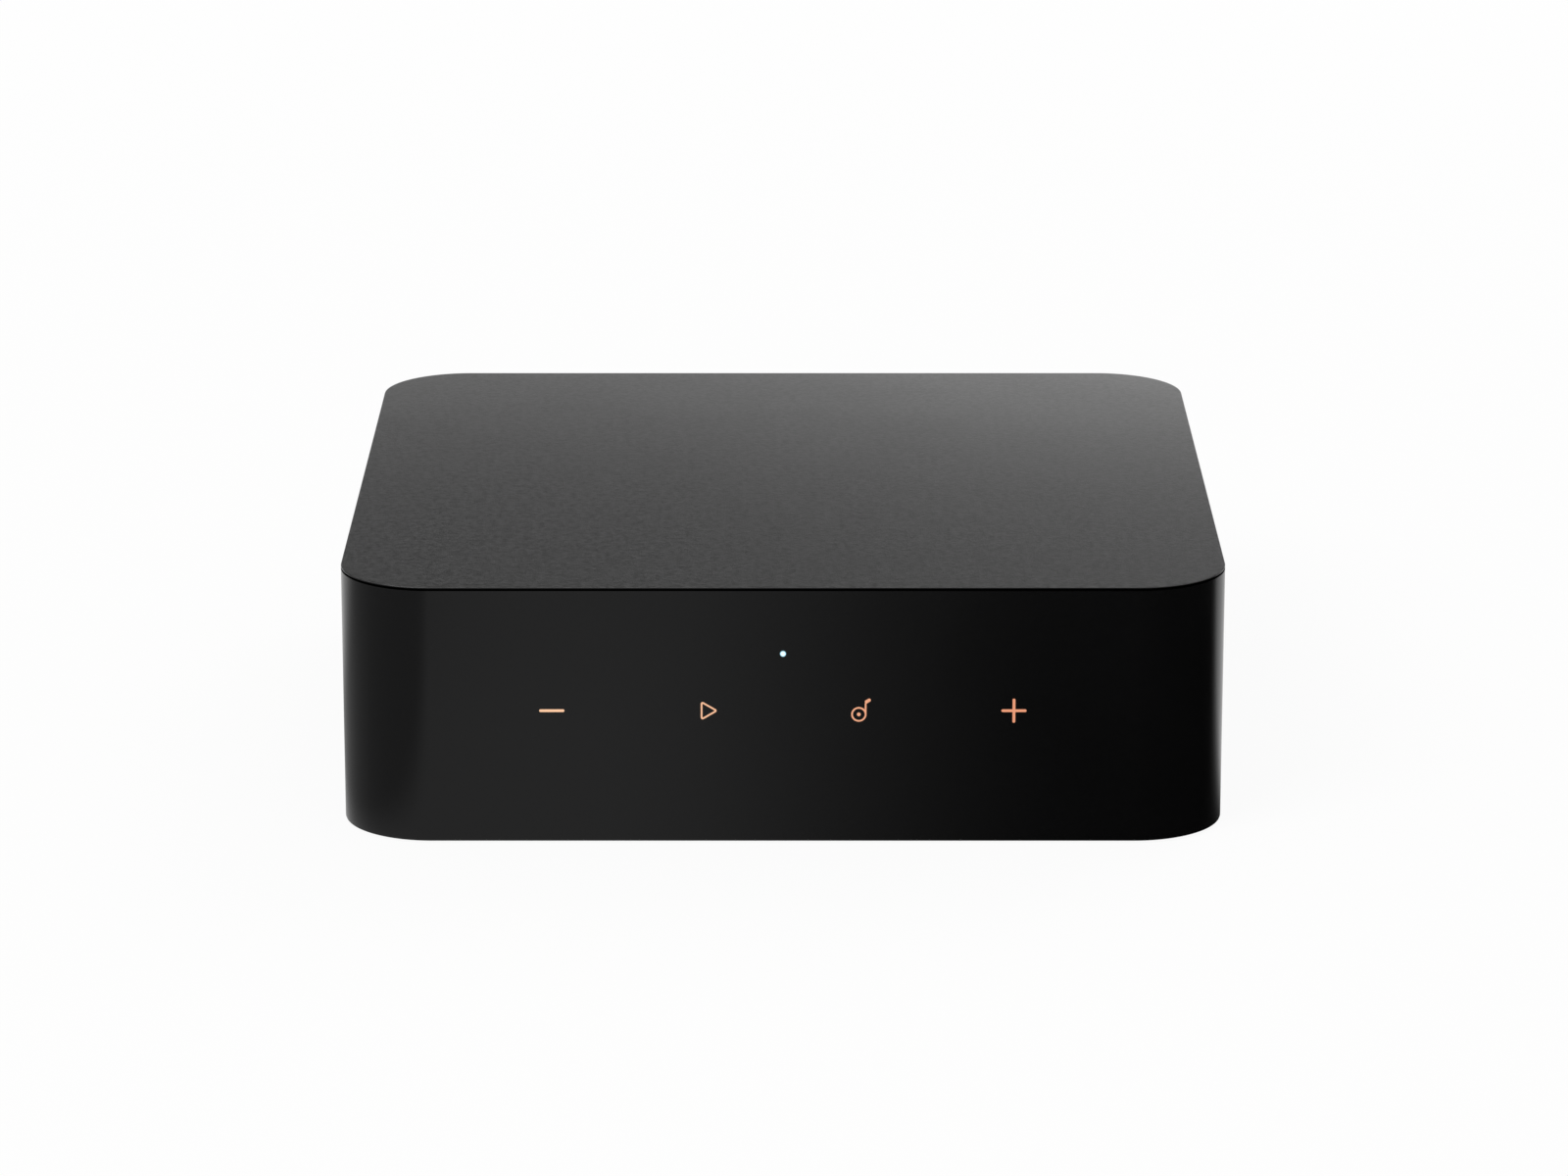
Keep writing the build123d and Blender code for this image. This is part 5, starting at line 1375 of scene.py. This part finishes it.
@dataclass
class OpticalSockets(Assembly):
    """The two square optical sockets with their sprung shutters."""

    places: tuple[tuple[str, float, str], ...] = (
        ("optical_in", -2.83, "optical_receiver"),
        ("optical_out", 9.27, "optical_emitter"),
    )
    leaf: Profile = ((61.58, 18.875), (66.4, 18.875), (66.4, 16.9), (67.55, 14.7))
    leaf_size: tuple[float, float, float] = (2.4, 0.1, 0.5)
    leaf_steps: tuple[int, int] = (8, 24)
    taper: tuple[float, int] = (0.35, 12)
    flex: Profile = ((66.4, 18.3), (67.15, 15.8))
    back: float = 54.5
    lens_z: float = 12.85
    element: tuple[float, float, float] = (3.95, 4.7, 2.0)
    lens: tuple[float, float, float] = (1.1, 0.8, 0.3)
    lift: float = 0.8
    ferrule: tuple[float, float, float, float] = (1.04, 1.76, 57.5, 59.15)

    def line(self) -> list[Vector]:
        """Gives the leaf's line from the roof down behind the shutter, with rounded bends.

        Returns:
            Its points, each with its place from front to rear and its height.
        """
        corners = [Vector(point) for point in self.leaf]
        bend, dots = self.leaf_size[2], []
        round_steps, long_steps = self.leaf_steps
        for before, corner, after in zip(corners, corners[1:], corners[2:]):
            start = corner + (before - corner).normalized() * bend
            end = corner + (after - corner).normalized() * bend
            for step in range(round_steps + 1):
                share = step / round_steps
                dots.append(start.lerp(corner, share).lerp(corner.lerp(end, share), share))
        rest = [dots[-1].lerp(corners[-1], step / long_steps) for step in range(1, long_steps + 1)]
        return [corners[0], *dots, *rest]

    def spring(self, name: str, x: float) -> bpy.types.Object:
        """Builds one leaf spring as a strip with enough steps to bend.

        Args:
            name: The socket's name.
            x: Where its middle is across the case.

        Returns:
            The spring.
        """
        width, thick, _ = self.leaf_size
        narrowing, steps = self.taper
        line = self.line()
        last = len(line) - 1
        rings = []
        for number, dot in enumerate(line):
            along = (line[min(number + 1, last)] - line[max(number - 1, 0)]).normalized()
            out = Vector((-along.y, along.x)) * thick / 2
            half = width / 2 * (1 - narrowing * max(0.0, (number - last + steps) / steps))
            low, high = dot - out, dot + out
            rings.append([(x - half, *low), (x + half, *low), (x + half, *high), (x - half, *high)])
        return Form().loft(rings).make(f"{name}_leaf", 0.0, 50.0)

    def light(self, name: str, x: float) -> bpy.types.Object:
        """Builds one receiver or emitter: a square body with a round domed lens.

        Args:
            name: The socket's name.
            x: Where its axis is across the case.

        Returns:
            The receiver or emitter.
        """
        half, high, thick = self.element
        radius, reach, dome = self.lens
        front = self.back + thick
        form = Form().prism(rounded(2 * half, 2 * high, 0.3, 4), x, self.lens_z + self.lift, self.back, front)
        profile = [(radius * u, front + reach + dome * (v - 1)) for u, v in arc(1.0, 0, 80, 5)]
        form.turned([(radius, front - 0.2), *profile], x, self.lens_z, closed=False, count=40)
        return form.make(f"{name}_element", 0.05)

    def sleeve(self, name: str, x: float) -> bpy.types.Object:
        """Builds the round ferrule that guides the plug's tip, with eased lips.

        Args:
            name: The socket's name.
            x: Where its axis is across the case.

        Returns:
            The ferrule.
        """
        inner, outer, back, tip = self.ferrule
        profile = [(outer, back), (outer, tip - 0.15), (outer - 0.04, tip - 0.05), (outer - 0.14, tip)]
        profile += [(inner + 0.16, tip), (inner + 0.04, tip - 0.08), (inner, tip - 0.22), (inner, back)]
        return Form().turned(profile, x, self.lens_z).make(f"{name}_ferrule")

    def build(self) -> None:
        """Dresses the sockets and builds their springs, ferrules and the lights behind them."""
        self.dress(BLACK_SOCKET, "optical_in_housing", "optical_out_housing")
        self.dress(DARK_SHUTTER, "optical_in_shutter", "optical_out_shutter")
        self.dress(SPRING_STEEL, "optical_hinge_pins")
        finish = ClearResin("red_epoxy", (0.45, 0.03, 0.03), 0.4, 0.15)
        for name, x, element in self.places:
            leaf = self.place(self.spring(name, x), SPRING_STEEL, "leaf_spring", f"{name}_spring", body=None)
            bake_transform(leaf)
            self.place(self.light(name, x), finish, "optical_element", element)
            self.place(self.sleeve(name, x), BLACK_SOCKET, None)


@dataclass
class NetworkSocket(Assembly):
    """The network socket with its two light windows and its grounding tabs."""

    x: float = -17.63
    half: float = 8.0
    windows: tuple[tuple[str, float, Colour], ...] = (
        ("link_window", -4.6, (0.1, 0.55, 0.16)),
        ("data_window", 4.6, (0.75, 0.4, 0.05)),
    )
    window: tuple[float, float, float] = (2.6, 1.0, 0.15)
    window_z: float = 19.725
    window_ends: tuple[float, float] = (67.9, 69.53)
    tab_rows: tuple[float, float] = (11.5, 15.5)
    tab: Profile = ((0.0, 68.6), (0.18, 67.6), (0.0, 66.4))
    tab_half: float = 1.1
    tab_thick: float = 0.2

    def build(self) -> None:
        """Dresses the socket and adds its windows and sprung tabs."""
        self.dress(BLACK_SOCKET, "ethernet_insert")
        self.dress(TINNED_STEEL, "ethernet_shield")
        self.dress(GOLD, "ethernet_contacts")
        for name, off, colour in self.windows:
            form = Form().prism(rounded(*self.window, 4), self.x + off, self.window_z, *self.window_ends)
            finish = ClearResin(name + "_resin", colour, 0.35)
            self.place(form.make(name, 0.06), finish, "signal_window", "ethernet_windows")
        form = Form()
        for side in (-1, 1):
            for z in self.tab_rows:
                low, high = z - self.tab_half, z + self.tab_half
                rings = []
                for bulge, y in self.tab:
                    outer = self.x + side * (self.half + bulge)
                    inner = outer - side * self.tab_thick
                    rings.append([(outer, y, low), (outer, y, high), (inner, y, high), (inner, y, low)])
                form.loft(rings)
        self.place(form.make("grounding_tabs"), TINNED_STEEL, "socket_steel")


@dataclass
class TriggerSocket(Assembly):
    """The small round trigger socket."""

    x: float = -30.63
    z: float = 10.8
    back: float = 66.6
    face: float = 69.5
    tip: float = 71.7
    throat: float = 70.05
    outer: float = 2.9
    flange: float = 3.5
    bore: float = 1.8
    inner: float = 2.2

    def build(self) -> None:
        """Builds the plated nose and dresses what is behind it."""
        outer, flange, root, tip = self.outer, self.flange, self.face, self.tip
        profile = [(outer, self.back), (outer, root + 0.02), (flange - 0.05, root + 0.02)]
        profile += [(flange, root + 0.35), (outer + 0.1, root + 0.45), (outer, root + 0.6)]
        profile += [(outer, tip - 0.25), (outer - 0.25, tip)]
        profile += [(self.bore + 0.3, tip), (self.bore, tip - 0.3), (self.bore, self.throat)]
        profile += [(self.inner, self.throat), (self.inner, self.back)]
        nose = Form().turned(profile, self.x, self.z, count=56).make("trigger_ring")
        self.place(nose, NICKEL, "socket_steel", "trigger_nose")
        self.dress(BLACK_SOCKET, "trigger_housing")
        self.dress(GOLD, "trigger_spring")


@dataclass
class ResetKey(Assembly):
    """The reset key cap with its dished face."""

    x: float = -38.63
    z: float = 11.0
    tip: float = 70.1
    cap: float = 1.8
    collar: tuple[float, float, float] = (2.5, 65.7, 66.3)
    stem: tuple[float, float] = (1.5, 63.5)
    dish: Profile = ((1.72, 0.07), (1.55, 0.0), (1.2, 0.06), (0.7, 0.14), (0.2, 0.17))

    def build(self) -> None:
        """Builds the cap and dresses the switch."""
        wide, front, rear = self.collar
        stem, start = self.stem
        profile = [(stem, start), (stem, front), (wide, front), (wide, rear), (self.cap, rear)]
        profile += [(self.cap, self.tip - 0.25), *((radius, self.tip - down) for radius, down in self.dish)]
        key = Form().turned(profile, self.x, self.z, closed=False).make("reset_cap")
        self.place(key, KEY_PLASTIC, "reset_key", "reset_button", body=Body.RESET_KEY)
        self.dress(SWITCH_PLASTIC, "reset_switch", "reset_plunger")


@dataclass
class PowerSocket(Assembly):
    """The power socket: a rolled metal shell round a tongue with contacts."""

    x: float = -47.6
    z: float = 9.23
    width: float = 8.94
    height: float = 3.26
    metal: float = 0.3
    mouth: float = 69.1
    depth: float = 8.4
    tongue: float = 0.35
    strips: int = 12
    pitch: float = 0.5
    strip: tuple[float, float, float] = (0.12, 64.0, 67.9)
    strip_skin: tuple[float, float] = (0.02, 0.03)

    def ring(self, inset: float, y: float) -> list[Point]:
        """Gives the shell's round-ended outline at y, drawn in by an inset."""
        size = self.height - 2 * inset
        return at_y(rounded(self.width - 2 * inset, size, size / 2 - 0.001, 14), self.x, self.z, y)

    def build(self) -> None:
        """Builds the shell and the tongue's contact strips."""
        metal, mouth, back = self.metal, self.mouth, self.mouth - self.depth
        profile = [(metal, back + metal), (metal, mouth - 0.1), (metal - 0.06, mouth - 0.02), (0.1, mouth)]
        profile += [(0.02, mouth - 0.06), (0, mouth - 0.15), (0, back)]
        shell = Form().loft([self.ring(inset, y) for inset, y in profile]).make("power_sleeve")
        self.place(shell, NICKEL, "socket_steel", "power_shell")
        self.dress(BLACK_SOCKET, "power_tongue")
        form = Form()
        half, start, end = self.strip
        under, over = self.strip_skin
        for side in (-1, 1):
            face = self.z + side * self.tongue
            low, high = sorted((face - side * under, face + side * over))
            for number in range(self.strips):
                x = self.x + (number - (self.strips - 1) / 2) * self.pitch
                form.block((x - half, start, low), (x + half, end, high))
        self.place(form.make("tongue_contacts"), GOLD, "contact")


# Inside


@dataclass
class MainBoard(Assembly):
    """The main board and what is soldered to it."""

    def build(self) -> None:
        """Dresses the board's nodes."""
        self.dress(CircuitBoard("main_resist", (0.012, 0.07, 0.04)), "main_board")
        self.dress(BLACK_ZINC, "board_screws")
        self.dress(CircuitBoard("module_resist", (0.01, 0.028, 0.08), 500.0), "streaming_module")
        self.dress(TINNED_STEEL, "module_shield", "crystals")
        self.dress(Foam("thermal_silicone", (0.35, 0.42, 0.47)), "thermal_pad")
        self.dress(SATIN_ALUMINIUM, "heat_sink", "capacitors")
        self.dress(CHIP_EPOXY, "audio_chips", "network_transformer")
        self.dress(FERRITE, "power_coils")


@dataclass
class Aerials(Assembly):
    """The two aerial boards, their leads and plugs."""

    def build(self) -> None:
        """Dresses the aerials' nodes."""
        self.dress(CircuitBoard("aerial_resist", (0.014, 0.085, 0.045), 700.0), "aerial_left", "aerial_right")
        self.dress(LEAD_JACKET, "aerial_lead_left", "aerial_lead_right")
        self.dress(GOLD, "aerial_plugs")


# Studio


@dataclass
class Studio:
    """The pale floor, the soft lamps, the cloths, the world and the camera."""

    floor_radius: float = 4.0
    floor_colour: Colour = (0.82, 0.82, 0.81)
    floor_glow: tuple[float, float, float] = (0.2, 1.2, 0.93)
    world_light: float = 0.55
    lamps: tuple[tuple[str, Point, float, float], ...] = (
        ("key_lamp", (-1.3, -1.5, 1.9), 1.4, 34.0),
        ("rear_lamp", (1.0, 1.6, 1.5), 1.2, 14.0),
    )
    aim: Point = (0.0, 0.0, 0.03)
    lens: float = 140.8
    sensor: float = 36.0
    camera_at: tuple[float, float, float] = (0.0, -0.9909, 0.3032)
    pitch: float = 15.84

    def seen(self, graph: Graph) -> Socket:
        """Gives 1 for rays that see the backdrop: camera, glossy and transmission rays.

        Args:
            graph: The graph that needs it.

        Returns:
            The socket.
        """
        path = graph.add("LightPath").outputs
        mirrored = graph.math("MAXIMUM", path["Is Glossy Ray"], path["Is Transmission Ray"])
        return graph.math("MAXIMUM", path["Is Camera Ray"], mirrored)

    def world(self) -> None:
        """Sets a white world for what is seen and a grey one for light."""
        world = bpy.data.worlds.new("studio_world")
        bpy.context.scene.world = world
        world.use_nodes = True
        graph = Graph(world.node_tree)
        light, white = graph.tree.nodes["Background"], graph.add("Background")
        for background in (light, white):
            graph.feed(background.inputs["Color"], (1.0, 1.0, 1.0))
        graph.feed(light.inputs["Strength"], self.world_light)
        graph.shade("World Output", self.seen(graph), light.outputs[0], white.outputs[0])

    def floor(self) -> None:
        """Lays a pale floor that looks white and keeps a soft shadow."""
        rings = [at_z(circle(self.floor_radius / MM, 96), 0, 0, z) for z in (-2.0, 0.0)]
        floor = Form().loft(rings).make("floor")
        paint = Paint("pale_floor")
        paint.set(Base_Color=self.floor_colour, Roughness=0.9, Specular_IOR_Level=0.0)
        near, far, least = self.floor_glow
        x, y, _ = paint.axes(paint.place())
        share = paint.span(paint.length(x, y), near, far, least, 1.0)
        share = paint.math("MULTIPLY", self.seen(paint), share)
        paint.shade("Material Output", share, paint.shader.outputs[0], paint.add("Emission").outputs[0])
        floor.data.materials.append(paint.material)

    def lamp(self, name: str, at: Point, size: float, power: float) -> None:
        """Adds a square soft lamp that faces the case.

        Args:
            name: The lamp's name.
            at: Where it stands, in metres.
            size: Its side, in metres.
            power: Its power in watts.
        """
        data = bpy.data.lights.new(name, "AREA")
        data.size = size
        data.energy = power
        lamp = bpy.data.objects.new(name, data)
        bpy.context.scene.collection.objects.link(lamp)
        lamp.location = at
        lamp.visible_camera = False
        lamp.rotation_euler = (Vector(self.aim) - Vector(at)).to_track_quat("-Z", "Y").to_euler()

    def cloth(self, name: str, low: Point, high: Point) -> tuple[Graph, Socket]:
        """Makes dark cloth that only reflections see.

        Args:
            name: The cloth's name.
            low: Its lowest corner in millimetres.
            high: Its highest corner in millimetres.

        Returns:
            Its material's graph, and the input for how dark it is, from 0 to 1.
        """
        cloth = Form().block(low, high).make(name)
        paint = Paint(name)
        black, clear = paint.add("Emission"), paint.add("BsdfTransparent")
        paint.feed(black.inputs["Strength"], 0.0)
        dark = paint.shade("Material Output", 1.0, clear.outputs[0], black.outputs[0])
        cloth.data.materials.append(paint.material)
        cloth.visible_camera = False
        cloth.visible_diffuse = False
        cloth.visible_shadow = False
        cloth.visible_transmission = False
        return paint, dark

    def floor_cloth(self) -> None:
        """Lays dark cloth on the floor in front of the case, cut slantwise past its right corner."""
        graph, dark = self.cloth("floor_cloth", (-420, -420, 0.05), (420, 200, 0.15))
        x, y, _ = graph.axes(graph.place())
        # each span: from and to in metres, then how dark it is at both
        right = graph.span(x, -0.034, 0.074, 0.0, 0.97)
        left = graph.span(x, -0.06, -0.085, 0.0, 0.34)
        beside = graph.math("MULTIPLY", left, graph.span(y, 0.05, -0.01))
        past = graph.math("MAXIMUM", graph.math("SUBTRACT", x, 0.068), 0.0)
        near = graph.span(graph.math("MULTIPLY_ADD", past, -0.55, y), -0.03, -0.072)
        graph.feed(dark, graph.math("MAXIMUM", graph.math("MULTIPLY", right, near), beside))

    def back_cloth(self) -> None:
        """Hangs dark gauze behind and above the case, thinner to the lower right."""
        graph, dark = self.cloth("back_cloth", (-500, 120, 43), (500, 120.5, 600))
        x, _, z = graph.axes(graph.place())
        # each span: from and to in metres, then how bright it is at both
        low = graph.span(z, 0.09, 0.057)
        right = graph.span(x, -0.07, 0.09, 0.6, 0.93)
        bright = graph.math("MULTIPLY_ADD", low, right, graph.span(x, -0.09, 0.09, 0.075, 0.012))
        graph.feed(dark, graph.math("SUBTRACT", 1.0, bright))

    def camera(self) -> None:
        """Places the camera where the photograph was taken."""
        data = bpy.data.cameras.new("camera")
        data.lens = self.lens
        data.sensor_width = self.sensor
        data.shift_x = 1 / 1600
        camera = bpy.data.objects.new("camera", data)
        bpy.context.scene.collection.objects.link(camera)
        camera.location = self.camera_at
        camera.rotation_euler = Euler((math.radians(90 - self.pitch), 0, 0))
        bpy.context.scene.camera = camera

    def build(self) -> None:
        """Builds the studio."""
        bpy.context.scene.view_settings.view_transform = "Standard"
        self.world()
        self.floor()
        self.floor_cloth()
        self.back_cloth()
        for lamp in self.lamps:
            self.lamp(*lamp)
        self.camera()
        log.info("studio built")


SUB_ASSEMBLIES = (
    (Studio, CaseShell, Underside, TouchSigns, StatusLight, TouchElectronics)
    + (RearPanel, PhonoSockets, OpticalSockets, NetworkSocket, TriggerSocket)
    + (ResetKey, PowerSocket, MainBoard, Aerials)
)


def clear_start() -> None:
    """Removes whatever the empty file came with."""
    keep = set(frame["nodes"].values()) | set(frame["bodies"].values())
    for item in list(bpy.data.objects):
        if item not in keep:
            bpy.data.objects.remove(item)


def main() -> None:
    """Builds every sub-assembly."""
    clear_start()
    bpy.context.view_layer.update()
    for kind in SUB_ASSEMBLIES:
        kind().build()


if __name__ == "__main__":
    main()
